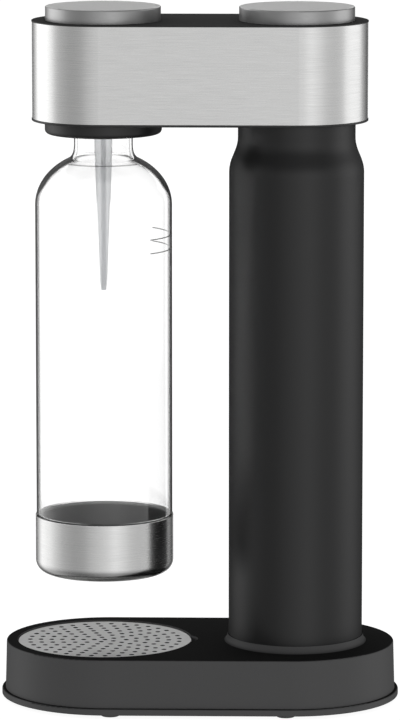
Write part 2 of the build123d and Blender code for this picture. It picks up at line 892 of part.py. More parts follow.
def bottle_edges(wall, crown, neck):
    """Outline of half the bottle, drawn in by a wall that grows to the crown's along the dome."""
    side = bottle_radius - wall
    step = recess_radius - wall
    foot = bottle_foot + wall
    corner = cup_corner - cup_sheet - wall
    rise = dome_height - crown
    mouth_angle = degrees(acos((neck + neck_flare) / side))
    with BuildLine() as border:
        push = Spline((0, foot + push_height), (push_radius, foot), tangents=[(1, 0), (1, -0.4)])
        Line(push @ 1, (step - corner, foot))
        RadiusArc((step - corner, foot), (step, foot + corner), -corner)
        Line((step, foot + corner), (step, recess_top))
        Polyline((step, recess_top), (side, recess_top + 2 * cup_step), (side, dome_z))
        dome = EllipticalCenterArc((0, dome_z), side, rise, start_angle=0, arc_size=mouth_angle)
        blend_top = (dome @ 1).Y + neck_blend + crown
        Spline(dome @ 1, (neck, blend_top), tangents=[dome % 1, (0, 1)])
        Polyline((neck, blend_top), (neck, bottle_top), (0, bottle_top), push @ 0)
    return border.edges()


with BuildPart() as bottle:
    with BuildSketch(bottle_section):
        make_face(bottle_edges(0, 0, neck_radius))
    revolve(axis=bottle_axis)
    with BuildSketch(bottle_section):
        make_face(bottle_edges(bottle_wall, shoulder_wall, neck_radius - neck_wall))
    revolve(axis=bottle_axis, mode=Mode.SUBTRACT)
save(bottle, "bottle")

with BuildPart() as bottle_cup:
    with BuildSketch(level(bottle_x, bottle_bottom)):
        Circle(cup_radius)
    extrude(amount=cup_height)
    fillet(bottle_cup.edges().group_by(Axis.Z)[0], cup_corner)
    offset(amount=-cup_sheet, openings=bottle_cup.faces().sort_by(Axis.Z)[-1])
save(bottle_cup, "bottle_cup")

# ---------------------------------------------------------------- chassis inside the head
front_deck_z = manifold_top + deck_gap
rear_deck_z = block_bottom - rear_deck
wall_edge = chassis_wall_y + chassis_wall / 2
end_radius = chassis_width / 2
wall_reach = (chassis_length - chassis_width) / 2
wall_reach += (end_radius ** 2 - wall_edge ** 2) ** 0.5 - chassis_wall
deck_start = column_x - rear_deck_front
deck_end = pivot_x + rear_deck_back

with BuildPart() as head_chassis:
    with BuildSketch(Plane.XY.offset(floor_top)):
        with Locations((0, chassis_wall_y), (0, -chassis_wall_y)):
            Rectangle(2 * wall_reach, chassis_wall)
    extrude(amount=lever_z - floor_top)
    # room for the two nuts
    with BuildSketch(level(column_x, floor_top)):
        Circle(spigot_radius + nut_wall + free)
    extrude(amount=nut_height + free, mode=Mode.SUBTRACT)
    with BuildSketch(level(bottle_x, floor_top)):
        Circle(socket_radius + socket_nut_wall + free)
    extrude(amount=socket_nut_height + free, mode=Mode.SUBTRACT)
    with BuildSketch(Plane.XY.offset(floor_bottom)):
        SlotOverall(chassis_length, chassis_width)
        with Locations((column_x, 0)):
            Circle(spigot_radius + slip, mode=Mode.SUBTRACT)
        with Locations((bottle_x, 0)):
            Circle(socket_radius + slip, mode=Mode.SUBTRACT)
    extrude(amount=chassis_floor)
    # pillars under the cover
    with BuildSketch(Plane.XY.offset(floor_bottom)):
        with GridLocations(2 * pillar_x, 2 * chassis_wall_y, 2, 2):
            Circle(pillar_radius)
    extrude(amount=plug_bottom - floor_bottom)
    # the front deck, with the tube that guides the button's stem
    with BuildSketch(level(bottle_x, front_deck_z)):
        Rectangle(deck_length, 2 * chassis_wall_y)
    extrude(amount=front_deck)
    with BuildSketch(level(bottle_x, front_deck_z)):
        Circle(stem_radius + guide_wall)
    extrude(amount=guide_top - front_deck_z)
    with BuildSketch(level(bottle_x, front_deck_z)):
        Circle(stem_radius + slip)
        with Locations((0, relief_offset)):
            Circle(relief_radius + free)
    extrude(amount=guide_top - front_deck_z, mode=Mode.SUBTRACT)
    # the rear deck that carries the valve block, and the ears that hold the lever's pin
    with BuildSketch(Plane.XY.offset(rear_deck_z)):
        SlotOverall(chassis_length, chassis_width)
        with Locations(((deck_start + deck_end) / 2, 0)):
            Rectangle(deck_end - deck_start, 2 * chassis_wall_y, mode=Mode.INTERSECT)
        with Locations((column_x, 0)):
            Circle(valve_radius + valve_bevel, mode=Mode.SUBTRACT)
    extrude(amount=rear_deck)
    for side in (ear_inner, -ear_inner - ear_thick):
        with BuildSketch(Plane.XZ.offset(side)):
            with Locations((pivot_x, (block_bottom + lever_z) / 2)):
                Rectangle(2 * eye_radius, lever_z - block_bottom)
            with Locations((pivot_x, lever_z)):
                Circle(eye_radius)
                Circle(pin_radius + slip, mode=Mode.SUBTRACT)
        extrude(amount=ear_thick)
save(head_chassis, "head_chassis")

# ---------------------------------------------------------------- valve block, seal and plunger
chamber_radius = plunger_radius + chamber_gap
head_underside = plunger_top - plunger_head_thick

with BuildPart() as valve_block:
    with BuildSketch(level(column_x, block_bottom)):
        Circle(block_radius)
    extrude(amount=block_height)
    with BuildSketch(Plane.XY.offset(block_top - block_port_height)):
        with Locations((rear_port + block_port_depth / 2, 0)):
            Rectangle(block_port_depth, 2 * port_boss)
    extrude(amount=block_port_height)
    with BuildSketch(column_section):
        band(0, valve_radius + free, block_bottom, bore_top)
        band(0, chamber_radius, bore_top, bore_top + chamber_height)
        band(0, plunger_radius + slip, bore_top, block_top)
    revolve(axis=column_axis, mode=Mode.SUBTRACT)
    # gas way from the chamber round the plunger out to the port
    with BuildSketch(across(rear_port, rear_port_z)):
        Circle(nozzle_bore)
    extrude(amount=column_x - rear_port, mode=Mode.SUBTRACT)
save(valve_block, "valve_block")

with BuildPart() as valve_seal:
    with BuildSketch(column_section):
        band(chamber_radius, valve_radius - valve_edge, bore_top - seal_thick, bore_top)
    revolve(axis=column_axis)
save(valve_seal, "valve_seal")

with BuildPart() as plunger:
    with BuildSketch(column_section):
        band(0, plunger_radius, valve_top - plunger_tip, plunger_top)
        band(0, plunger_head, head_underside, plunger_top)
    revolve(axis=column_axis)
    fillet(plunger.edges().group_by(Axis.Z)[-1], plunger_edge)
save(plunger, "plunger")

with BuildPart() as plunger_spring:
    coil_radius = plunger_radius + coil_gap + plunger_wire
    turn = coil(column_x, block_top, head_underside, coil_radius, plunger_wire, plunger_turns)
    with BuildSketch(Plane(turn @ 0, z_dir=turn % 0)):
        Circle(plunger_wire / 2)
    sweep(path=turn, is_frenet=True)
save(plunger_spring, "plunger_spring")

# ---------------------------------------------------------------- lever and its pin
half_fork = fork_gap + fork_tine
half_lever = lever_width / 2
rib_start = bottle_x + rib_front
rib_end = column_x - rib_back
rib_y = half_lever - rib_sheet / 2
hub_half = ear_inner - free

with BuildPart() as lever:
    with BuildSketch(Plane.XY.offset(lever_bottom)):
        outline(
            (bottle_x - fork_tip, -half_fork),
            (bottle_x + fork_root, -half_fork),
            (bottle_x + fork_end, -half_lever),
            (pivot_x, -half_lever),
            (pivot_x, half_lever),
            (bottle_x + fork_end, half_lever),
            (bottle_x + fork_root, half_fork),
            (bottle_x - fork_tip, half_fork),
        )
        with Locations((bottle_x, 0)):
            Circle(fork_gap, mode=Mode.SUBTRACT)
        with Locations((bottle_x - fork_tip / 2 - root, 0)):
            Rectangle(fork_tip + 2 * root, 2 * fork_gap, mode=Mode.SUBTRACT)
    extrude(amount=lever_thick)
    # folded-down edges that stiffen the arm
    with BuildSketch(Plane.XY.offset(lever_bottom - rib_depth)):
        with Locations(((rib_start + rib_end) / 2, rib_y), ((rib_start + rib_end) / 2, -rib_y)):
            Rectangle(rib_end - rib_start, rib_sheet)
    extrude(amount=rib_depth)
    with BuildSketch(Plane.XZ.offset(-hub_half)):
        with Locations((pivot_x, lever_z)):
            Circle(eye_radius)
    extrude(amount=2 * hub_half)
    with BuildSketch(Plane.XZ.offset(-ear_inner)):
        with Locations((pivot_x, lever_z)):
            Circle(pin_radius + slip)
    extrude(amount=2 * ear_inner, mode=Mode.SUBTRACT)
save(lever, "lever")

pin_reach = ear_inner + ear_thick + pin_stub

with BuildPart() as lever_pin:
    with BuildSketch(Plane.XZ.offset(-pin_reach)):
        with Locations((pivot_x, lever_z)):
            Circle(pin_radius)
    extrude(amount=2 * pin_reach)
save(lever_pin, "lever_pin")

# ---------------------------------------------------------------- gas pipe, its nuts and the relief valve
with BuildPart() as gas_pipe:
    with BuildLine(Plane.XZ):
        route = FilletPolyline(
            (rear_port, rear_port_z),
            (rear_port - rear_pipe_run, rear_port_z),
            (front_port + front_pipe_run, port_z),
            (front_port, port_z),
            radius=pipe_bend,
        )
    with BuildSketch(Plane(route @ 0, z_dir=route % 0)):
        Circle(pipe_radius)
        Circle(nozzle_bore, mode=Mode.SUBTRACT)
    sweep(path=route)
save(gas_pipe, "gas_pipe")

with BuildPart() as pipe_nuts:
    for x, z in ((rear_port - pipe_nut, rear_port_z), (front_port, port_z)):
        with BuildSketch(across(x, z)):
            RegularPolygon(port_boss, 6, major_radius=False)
            Circle(pipe_radius + slip, mode=Mode.SUBTRACT)
        extrude(amount=pipe_nut)
save(pipe_nuts, "pipe_nuts")

relief_top = manifold_top + relief_body + relief_cap

with BuildPart() as relief_valve:
    with BuildSketch(Plane((bottle_x, relief_offset, manifold_top))):
        Circle(relief_radius)
    extrude(amount=relief_body)
    with BuildSketch(Plane((bottle_x, relief_offset, manifold_top + relief_body))):
        Circle(relief_radius - relief_step)
    extrude(amount=relief_cap)
    with BuildSketch(Plane((bottle_x, relief_offset, relief_top - relief_vent_depth))):
        Circle(relief_vent)
    extrude(amount=relief_vent_depth, mode=Mode.SUBTRACT)
save(relief_valve, "relief_valve")

# ---------------------------------------------------------------- push button over the bottle
insert_radius = cap_radius - cap_sheet - fit
insert_top = cap_top - cap_sheet
insert_bottom = insert_top - insert_thick
carrier_bottom = plug_bottom - carrier_drop
carrier_inner = insert_radius - carrier_wall
flange_upper = carrier_bottom + carrier_flange_thick
spring_seat = hub_bottom + seat_rise
spring_radius = stem_radius + coil_gap + spring_wire / 2
hub_bore = fork_gap - free
stem_bottom = manifold_top + button_travel + root

with BuildPart() as button_carrier:
    with BuildSketch(bottle_section):
        band(0, insert_radius, insert_bottom, insert_top)
        band(carrier_inner, insert_radius, carrier_bottom, insert_bottom)
        band(carrier_inner, insert_radius + carrier_flange, carrier_bottom, flange_upper)
        band(hub_bore, half_fork, hub_bottom + nose_height, insert_bottom)
        band(0, hub_bore, spring_seat, insert_bottom)
        band(0, stem_radius, stem_bottom, insert_bottom)
    revolve(axis=bottle_axis)
    with BuildSketch(level(bottle_x, flange_upper)):
        with PolarLocations((half_fork + carrier_inner) / 2, carrier_ribs):
            Rectangle(carrier_inner - half_fork + 2 * root, carrier_rib)
    extrude(amount=insert_bottom - flange_upper)
    # the nose that presses on both tines of the lever
    with BuildSketch(level(bottle_x, hub_bottom)):
        Rectangle(2 * nose_half, 2 * (half_fork - nose_inset))
        Circle(hub_bore, mode=Mode.SUBTRACT)
    extrude(amount=nose_height)
save(button_carrier, "button_carrier")

with BuildPart() as button_spring:
    turn = coil(bottle_x, guide_top, spring_seat, spring_radius, spring_wire, spring_turns)
    with BuildSketch(Plane(turn @ 0, z_dir=turn % 0)):
        Circle(spring_wire / 2)
    sweep(path=turn, is_frenet=True)
save(button_spring, "button_spring")

# ---------------------------------------------------------------- the steel skins of the two discs
cap_skirts = {
    "button_cap": (bottle_x, flange_upper + fit),
    "rear_cap": (column_x, plug_bottom + free),
}
for name, (x, skirt) in cap_skirts.items():
    with BuildPart() as cap:
        with BuildSketch(level(x, skirt)):
            Circle(cap_radius)
        extrude(amount=cap_top - skirt)
        fillet(cap.edges().group_by(Axis.Z)[-1], cap_edge)
        with BuildSketch(level(x, skirt)):
            Circle(cap_radius - cap_sheet)
        extrude(amount=insert_top - skirt, mode=Mode.SUBTRACT)
    save(cap, name)

# ---------------------------------------------------------------- insert of the rear cap, with its lugs
lug_top = shelf_bottom - free
skirt_outer = shelf_bore - free
skirt_inner = skirt_outer - hatch_rim

with BuildPart() as rear_cap_insert:
    with BuildSketch(column_section):
        band(0, insert_radius, insert_bottom, insert_top)
        band(skirt_inner, skirt_outer, lug_top - lug_thick, insert_bottom)
    revolve(axis=column_axis)
    with BuildSketch(level(column_x, lug_top - lug_thick)):
        for middle in lug_angles:
            sector(skirt_outer - root, shelf_bore + cap_lug, middle, lug_width)
    extrude(amount=lug_thick)
save(rear_cap_insert, "rear_cap_insert")
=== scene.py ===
# %% [markdown]
# # A soda carbonator, dressed for its portrait
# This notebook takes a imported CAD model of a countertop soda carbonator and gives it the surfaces
# and the small details that the CAD leaves out. The machine is simple to look at: a black stadium
# of a base, a black column, a brushed steel head, and a clear bottle that hangs over a steel grille.
# The CAD shapes stay where they are. What changes here is what they are made of. A few pieces are
# made again or added: the blown bottle, the two coil springs, the threads, the printed fill lines
# and the grooved feet.

# %% Load the frame
import math

import bpy
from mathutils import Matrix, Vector


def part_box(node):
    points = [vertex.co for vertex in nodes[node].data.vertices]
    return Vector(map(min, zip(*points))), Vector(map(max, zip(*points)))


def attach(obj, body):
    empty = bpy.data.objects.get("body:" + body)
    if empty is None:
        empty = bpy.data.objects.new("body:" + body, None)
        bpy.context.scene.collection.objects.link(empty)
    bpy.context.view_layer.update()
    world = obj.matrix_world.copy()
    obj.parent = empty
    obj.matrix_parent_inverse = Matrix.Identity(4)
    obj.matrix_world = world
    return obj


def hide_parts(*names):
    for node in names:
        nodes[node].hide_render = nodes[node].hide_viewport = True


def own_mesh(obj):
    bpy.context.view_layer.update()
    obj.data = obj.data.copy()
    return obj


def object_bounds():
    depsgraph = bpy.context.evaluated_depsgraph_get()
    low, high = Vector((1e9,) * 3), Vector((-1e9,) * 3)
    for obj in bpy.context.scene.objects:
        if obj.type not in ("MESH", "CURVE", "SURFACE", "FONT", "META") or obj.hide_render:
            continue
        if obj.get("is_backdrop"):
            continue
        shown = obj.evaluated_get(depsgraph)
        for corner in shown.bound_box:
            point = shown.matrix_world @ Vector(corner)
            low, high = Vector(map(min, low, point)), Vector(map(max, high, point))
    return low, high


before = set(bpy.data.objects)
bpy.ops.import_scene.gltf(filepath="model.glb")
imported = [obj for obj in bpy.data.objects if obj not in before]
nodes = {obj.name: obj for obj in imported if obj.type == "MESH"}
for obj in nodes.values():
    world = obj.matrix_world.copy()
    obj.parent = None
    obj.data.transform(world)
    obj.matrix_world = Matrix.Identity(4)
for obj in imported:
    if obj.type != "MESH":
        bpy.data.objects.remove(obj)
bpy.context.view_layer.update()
MM = 0.001

# %% [markdown]
# ## Where the eye stands
# The machine is seen from its side, a little from above and through a long lens. A long lens keeps
# the two ends of the machine almost the same size, so its distance matters more than its angle.
# The camera is placed on a sphere round a point near the middle of the machine.

# %% Camera
TARGET = Vector((0.0, 0.0, 0.2009))
DISTANCE = 2.874
ELEVATION = math.radians(9.12)
AZIMUTH = math.radians(1.32)
FOCAL_MM = 245.5
SENSOR_MM = 36.0
FARTHEST = 50.0

away = Vector((
    math.sin(AZIMUTH) * math.cos(ELEVATION),
    -math.cos(AZIMUTH) * math.cos(ELEVATION),
    math.sin(ELEVATION),
))
camera = bpy.data.objects.new("camera", bpy.data.cameras.new("camera"))
camera.location = TARGET + away * DISTANCE
camera.rotation_euler = away.to_track_quat("Z", "Y").to_euler()
camera.data.lens = FOCAL_MM
camera.data.sensor_width = SENSOR_MM
camera.data.sensor_height = SENSOR_MM
camera.data.sensor_fit = "AUTO"
camera.data.clip_end = FARTHEST
bpy.context.scene.collection.objects.link(camera)
bpy.context.scene.camera = camera
print("camera at", [round(v, 3) for v in camera.location])

# %% [markdown]
# ## Node helpers
# The room and every finish below are node trees, and the same few steps come back in all of them. So
# they are helpers: add a node, do a sum with sockets or numbers, and fade softly from one value to
# another. Without a tree of its own, a helper works in the world's tree.

# %% Adding nodes
def add(kind, settings=None, inputs=None, at=None):
    """Add a node to a tree, set its properties and its unlinked inputs."""
    node = (at or tree).nodes.new(kind)
    for key, value in (settings or {}).items():
        setattr(node, key, value)
    for key, value in (inputs or {}).items():
        node.inputs[key].default_value = value
    return node


def fill(owner, node, values):
    """Give a node its inputs in order; sockets are linked and anything else becomes a default."""
    for index, value in enumerate(values):
        if isinstance(value, bpy.types.NodeSocket):
            owner.links.new(value, node.inputs[index])
        else:
            node.inputs[index].default_value = value


print("adding nodes: add, fill")

# %% Sums and steps
def math_node(operation, *values, at=None):
    """Add a Math node and return its result."""
    owner = at or tree
    node = add("ShaderNodeMath", {"operation": operation}, at=owner)
    fill(owner, node, values)
    return node.outputs[0]


def vector_node(operation, *values, at=None):
    """Add a Vector Math node and return its result, a number for a length or a dot product."""
    owner = at or tree
    node = add("ShaderNodeVectorMath", {"operation": operation}, at=owner)
    fill(owner, node, values)
    return node.outputs["Value" if operation in ("LENGTH", "DOT_PRODUCT") else "Vector"]


def soft_step(source, start, end, low=0.0, high=1.0, at=None):
    """Fade from low to high while a value goes from start to end."""
    owner = at or tree
    node = add("ShaderNodeMapRange", {"interpolation_type": "SMOOTHSTEP"},
               {"From Min": start, "From Max": end, "To Min": low, "To Max": high}, at=owner)
    owner.links.new(source, node.inputs["Value"])
    return node.outputs[0]


def parts_of(vector, at=None):
    """Split a vector socket into its X, Y and Z outputs."""
    owner = at or tree
    node = add("ShaderNodeSeparateXYZ", at=owner)
    owner.links.new(vector, node.inputs[0])
    return node.outputs


print("sums and steps: math_node, vector_node, soft_step, parts_of")

# %% [markdown]
# ## The studio
# Steel and black plastic show the room more than themselves, so the room is the first material. The
# sweep round the machine is a ring of tones in the world shader: soft white panels at both sides, a
# greyer gap between each panel and the eye, and a dark zone behind. The gaps draw the darker band near
# each rounded end of the head, and the dark zone keeps the flat black tops black.

# %% Ring of tones
SWEEP = [
    (-180.0, 0.04), (-158.0, 0.06), (-144.0, 0.70), (-128.0, 1.94), (-104.0, 1.64), (-86.0, 1.12),
    (-68.0, 0.76), (-50.0, 0.62), (-35.0, 0.66), (-16.0, 0.98), (-4.0, 1.12), (6.0, 1.26),
    (20.0, 1.60), (34.0, 1.34), (48.0, 1.02), (62.0, 0.94), (78.0, 1.04), (98.0, 1.18),
    (122.0, 1.10), (140.0, 0.45), (156.0, 0.06), (180.0, 0.04),
]
FULL_TURN = 360.0
TONE_TOP = 2.0

world = bpy.data.worlds.new("studio")
bpy.context.scene.world = world
world.use_nodes = True
tree = world.node_tree
tree.nodes.clear()

ahead = parts_of(add("ShaderNodeTexCoord").outputs["Generated"])
turn = math_node("ARCTAN2", ahead["X"], math_node("MULTIPLY", ahead["Y"], -1.0))
ramp = add("ShaderNodeValToRGB")
ramp.color_ramp.interpolation = "EASE"
for index, (angle, tone) in enumerate(SWEEP):
    place = (angle + FULL_TURN / 2) / FULL_TURN
    if index < 2:
        stop = ramp.color_ramp.elements[index]
        stop.position = place
    else:
        stop = ramp.color_ramp.elements.new(place)
    level = tone / TONE_TOP
    stop.color = (level, level, level, 1.0)
tree.links.new(math_node("MULTIPLY_ADD", turn, 0.5 / math.pi, 0.5), ramp.inputs[0])
ring = math_node("MULTIPLY", ramp.outputs[0], TONE_TOP)
print("ring tones:", len(SWEEP))

# %% [markdown]
# The ring fades towards the ceiling and towards the ground. Two soft lights are added to it: one
# overhead, for tops seen from above, and one low down in the dark zone, for what faces back and down.

# %% Heights of the room
CEILING = (0.22, 0.60, 1.0, 0.22)
GROUND = (-0.70, -0.15, 0.35, 1.0)
DARK_ZONE = (math.radians(158.0), math.radians(172.0), 0.0, 0.9)
LOW_DOWN = (-0.10, 0.0, 1.0, 0.0)
OVERHEAD = (0.60, 0.85, 0.0, 0.45)

faded = math_node("MULTIPLY", ring, soft_step(ahead["Z"], *CEILING))
swept = math_node("MULTIPLY", faded, soft_step(ahead["Z"], *GROUND))
behind = soft_step(math_node("ABSOLUTE", turn), *DARK_ZONE)
rear_fill = math_node("MULTIPLY", behind, soft_step(ahead["Z"], *LOW_DOWN))
room = math_node("ADD", math_node("ADD", swept, rear_fill), soft_step(ahead["Z"], *OVERHEAD))
room_light = add("ShaderNodeBackground")
tree.links.new(room, room_light.inputs["Strength"])
print("room light has", len(tree.nodes), "nodes")

# %% [markdown]
# What the eye sees directly behind the machine is plain white paper. What it sees through the bottle
# is a backdrop a little brighter than that, because two walls of plastic take some of the light away.

# %% Paper and backdrop
WHITE = (1.0, 1.0, 1.0, 1.0)
BACKDROP = 1.4

paper = add("ShaderNodeBackground", inputs={"Color": WHITE, "Strength": 1.0})
backdrop = add("ShaderNodeBackground", inputs={"Strength": BACKDROP})
path = add("ShaderNodeLightPath")
behind_glass = add("ShaderNodeMixShader")
fill(tree, behind_glass, (path.outputs["Is Transmission Ray"], room_light.outputs[0], backdrop.outputs[0]))
seen = add("ShaderNodeMixShader")
fill(tree, seen, (path.outputs["Is Camera Ray"], behind_glass.outputs[0], paper.outputs[0]))
output = add("ShaderNodeOutputWorld")
tree.links.new(seen.outputs[0], output.inputs["Surface"])
bpy.context.scene.view_settings.view_transform = "Standard"
print("world has", len(tree.nodes), "nodes")

# %% [markdown]
# ## Floor and panels
# The floor is one big sheet of white card. It is nearly all glow, so that it meets the paper behind
# it without a horizon, with just enough reflectance left to darken a little where the base stands. Its
# underside is clear, so that the machine can also be looked at from below. Three soft panels, one at
# each side and one behind, add the crisp edge lights that a painted room is too smooth to give.

# %% Floor
FLOOR_HALF = 12.0
FLOOR_DROP = 0.2 * MM
CARD_GREY = (0.30, 0.30, 0.30, 1.0)
CARD_GLOW = 0.93
CARD_ROUGH = 0.9

bpy.ops.object.select_all(action="DESELECT")
bpy.ops.mesh.primitive_plane_add(size=2 * FLOOR_HALF, location=(0.0, 0.0, -FLOOR_DROP))
floor = bpy.context.object
floor.name = "floor"
card = bpy.data.materials.new("white_card")
card.use_nodes = True
owner = card.node_tree
top_side = owner.nodes["Principled BSDF"]
for label, value in (("Base Color", CARD_GREY), ("Roughness", CARD_ROUGH), ("Specular IOR Level", 0.0),
                     ("Emission Color", WHITE), ("Emission Strength", CARD_GLOW)):
    top_side.inputs[label].default_value = value
underside = add("ShaderNodeNewGeometry", at=owner)
clear_side = add("ShaderNodeBsdfTransparent", at=owner)
both_sides = add("ShaderNodeMixShader", at=owner)
fill(owner, both_sides, (underside.outputs["Backfacing"], top_side.outputs[0], clear_side.outputs[0]))
owner.links.new(both_sides.outputs[0], owner.nodes["Material Output"].inputs["Surface"])
floor.data.materials.append(card)
floor.visible_glossy = False
floor.visible_diffuse = False
floor.visible_transmission = False
floor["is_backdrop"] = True
print("floor", 2 * FLOOR_HALF, "m across")

# %% Soft panels
PANELS = {
    # place, width, height, power
    "panel_left": ((-2.2, 0.6, 0.5), 1.8, 1.4, 4.0),
    "panel_right": ((2.2, 0.5, 0.5), 1.8, 1.4, 4.0),
    "panel_behind": ((0.0, 2.6, 1.5), 2.6, 1.0, 11.0),
}
for name, (place, width, height, power) in PANELS.items():
    light = bpy.data.lights.new(name, "AREA")
    light.shape = "RECTANGLE"
    light.size = width
    light.size_y = height
    light.energy = power
    panel = bpy.data.objects.new(name, light)
    panel.location = place
    panel.rotation_euler = (Vector(place) - TARGET).to_track_quat("Z", "Y").to_euler()
    bpy.context.scene.collection.objects.link(panel)
print("panels:", list(PANELS))

# %% [markdown]
# ## Effects that several materials share
# Each of these is a node group with its own inputs, built once and placed wherever it is needed. They
# give out only masks, values and heights, and the shader that uses them stays in its own material.
# All of them read Object coordinates, which here are real metres, so a grain that is 0.1 mm wide on
# the head is as wide on the discs.

# %% Group helpers
VECTOR = "NodeSocketVector"
FLOAT = "NodeSocketFloat"


def new_group(name, inputs, outputs):
    """Start a shader node group with float or vector sockets and return it with its two ends."""
    group = bpy.data.node_groups.new(name, "ShaderNodeTree")
    for label, kind, value in inputs:
        group.interface.new_socket(name=label, in_out="INPUT", socket_type=kind).default_value = value
    for label in outputs:
        group.interface.new_socket(name=label, in_out="OUTPUT", socket_type=FLOAT)
    return group, group.nodes.new("NodeGroupInput"), group.nodes.new("NodeGroupOutput")


def noise_field(owner, scale=None, detail=2.0, rough=0.5, **settings):
    """Noise in Object coordinates; without a scale, the caller links one."""
    place = add("ShaderNodeTexCoord", at=owner)
    noise = add("ShaderNodeTexNoise", inputs={"Detail": detail, "Roughness": rough, **settings}, at=owner)
    owner.links.new(place.outputs["Object"], noise.inputs["Vector"])
    if scale is not None:
        noise.inputs["Scale"].default_value = scale
    return noise


print("group helpers ready")

# %% [markdown]
# Brushed steel is drawn past an abrasive belt, so its marks are very long one way and hair-thin the
# other. A noise that is stretched by a different scale along each axis gives just that. Two layers,
# one fine and one coarser, keep it from looking like a single repeated scratch.

# %% Brushed lines
LAYERS = ((1.0, 0.0), (0.31, 3.7))
LINE_SPREAD_FROM = (0.32, 0.68)

brush, start, end = new_group(
    "brushed_lines",
    [("Stretch", VECTOR, (12.0, 12.0, 3000.0)), ("Coarse", FLOAT, 0.3)],
    ["Lines", "Height"],
)
place = add("ShaderNodeTexCoord", at=brush)
layers = []
for factor, seed in LAYERS:
    scaled = vector_node("MULTIPLY", place.outputs["Object"], start.outputs["Stretch"], at=brush)
    moved = vector_node("MULTIPLY_ADD", scaled, (factor,) * 3, (seed,) * 3, at=brush)
    noise = add("ShaderNodeTexNoise", inputs={"Scale": 1.0, "Detail": 3.0, "Roughness": 0.6}, at=brush)
    brush.links.new(moved, noise.inputs["Vector"])
    layers.append(noise.outputs[0])
blended = add("ShaderNodeMix", {"data_type": "FLOAT"}, at=brush)
brush.links.new(start.outputs["Coarse"], blended.inputs["Factor"])
brush.links.new(layers[0], blended.inputs["A"])
brush.links.new(layers[1], blended.inputs["B"])
low, high = LINE_SPREAD_FROM
spread = add("ShaderNodeMapRange", inputs={"From Min": low, "From Max": high}, at=brush)
brush.links.new(blended.outputs["Result"], spread.inputs["Value"])
brush.links.new(spread.outputs[0], end.inputs["Lines"])
brush.links.new(blended.outputs["Result"], end.inputs["Height"])
print("group", brush.name)

# %% [markdown]
# Moulded plastic carries the fine spark-eroded texture of its steel mould: tiny rounded pits, about
# half a millimetre apart. Voronoi cells softened by noise look like it, both as bumps and as a
# slight change in gloss.

# %% Moulded grain
PIT_SOFTNESS = 0.6
GRIT = 0.6

grain, start, end = new_group("moulded_grain", [("Scale", FLOAT, 1800.0)], ["Height", "Gloss"])
grit = noise_field(grain, None, 4.0, 0.65)
cells = add("ShaderNodeTexVoronoi", {"feature": "SMOOTH_F1"}, {"Smoothness": PIT_SOFTNESS}, at=grain)
place = add("ShaderNodeTexCoord", at=grain)
grain.links.new(place.outputs["Object"], cells.inputs["Vector"])
for texture in (cells, grit):
    grain.links.new(start.outputs["Scale"], texture.inputs["Scale"])
height = math_node("MULTIPLY_ADD", grit.outputs[0], GRIT, cells.outputs["Distance"], at=grain)
grain.links.new(height, end.inputs["Height"])
grain.links.new(grit.outputs[0], end.inputs["Gloss"])
print("group", grain.name)

# %% [markdown]
# Nothing that stands on a kitchen worktop is evenly clean. Fingers leave soft, slightly glossier or
# duller patches a few centimetres wide, with fine smears inside them. The mask is low for clean
# surface and high for touched surface, and every material decides how strongly to show it.

# %% Handling marks
SMEARS_PER_PATCH = 9.0
CLEAN_LEVEL = 0.85
COVER_SHARE = 0.6
PATCH_EDGE = 0.22

marks, start, end = new_group(
    "handling_marks", [("Size", FLOAT, 28.0), ("Cover", FLOAT, 0.5)], ["Mask"],
)
patch = noise_field(marks, None, 2.0, Distortion=0.6)
smear = noise_field(marks, None, 5.0, 0.7)
marks.links.new(start.outputs["Size"], patch.inputs["Scale"])
finer = math_node("MULTIPLY", start.outputs["Size"], SMEARS_PER_PATCH, at=marks)
marks.links.new(finer, smear.inputs["Scale"])
cover = math_node("MULTIPLY", start.outputs["Cover"], COVER_SHARE, at=marks)
low = math_node("SUBTRACT", CLEAN_LEVEL, cover, at=marks)
area = add("ShaderNodeMapRange", {"interpolation_type": "SMOOTHSTEP"}, at=marks)
marks.links.new(patch.outputs[0], area.inputs["Value"])
marks.links.new(low, area.inputs["From Min"])
marks.links.new(math_node("ADD", low, PATCH_EDGE, at=marks), area.inputs["From Max"])
marks.links.new(math_node("MULTIPLY", area.outputs[0], smear.outputs[0], at=marks), end.inputs["Mask"])
print("group", marks.name)

# %% [markdown]
# Dust settles on what faces up. The group compares the surface normal with straight up and breaks
# the result with noise, so shelves and tops are a touch lighter and sides stay clean. It also gives
# out how far a surface faces up, which the plastics use for the painted shade and the haze on their tops.

# %% Settled dust
UPWARD_POWER = 3.0

dust, start, end = new_group("settled_dust", [("Amount", FLOAT, 0.3)], ["Mask", "Upward"])
facing = add("ShaderNodeNewGeometry", at=dust)
rising = math_node("MAXIMUM", parts_of(facing.outputs["Normal"], at=dust)["Z"], 0.0, at=dust)
upward = math_node("POWER", rising, UPWARD_POWER, at=dust)
speck = noise_field(dust, 900.0, 6.0, 0.75)
drift = noise_field(dust, 35.0, 3.0)
clumps = math_node("MULTIPLY", speck.outputs[0], drift.outputs[0], at=dust)
loose = math_node("MULTIPLY", upward, clumps, at=dust)
cover = math_node("MULTIPLY", loose, start.outputs["Amount"], at=dust)
dust.links.new(cover, end.inputs["Mask"])
dust.links.new(upward, end.inputs["Upward"])
print("group", dust.name)

# %% [markdown]
# ## Materials
# One maker function per family of finish keeps the recipes short. Every one starts from a Principled
# shader whose constants are set on its own sockets, and feeds only colour, roughness and bump.

# %% Material helpers
def new_material(name):
    """Start a material and return it with its tree and its Principled shader."""
    material = bpy.data.materials.new(name)
    material.use_nodes = True
    return material, material.node_tree, material.node_tree.nodes["Principled BSDF"]


def place_group(owner, group, **values):
    """Put a shared group into a material with its own values."""
    node = owner.nodes.new("ShaderNodeGroup")
    node.node_tree = group
    for label, value in values.items():
        node.inputs[label].default_value = value
    return node


print("starting a material: new_material, place_group")

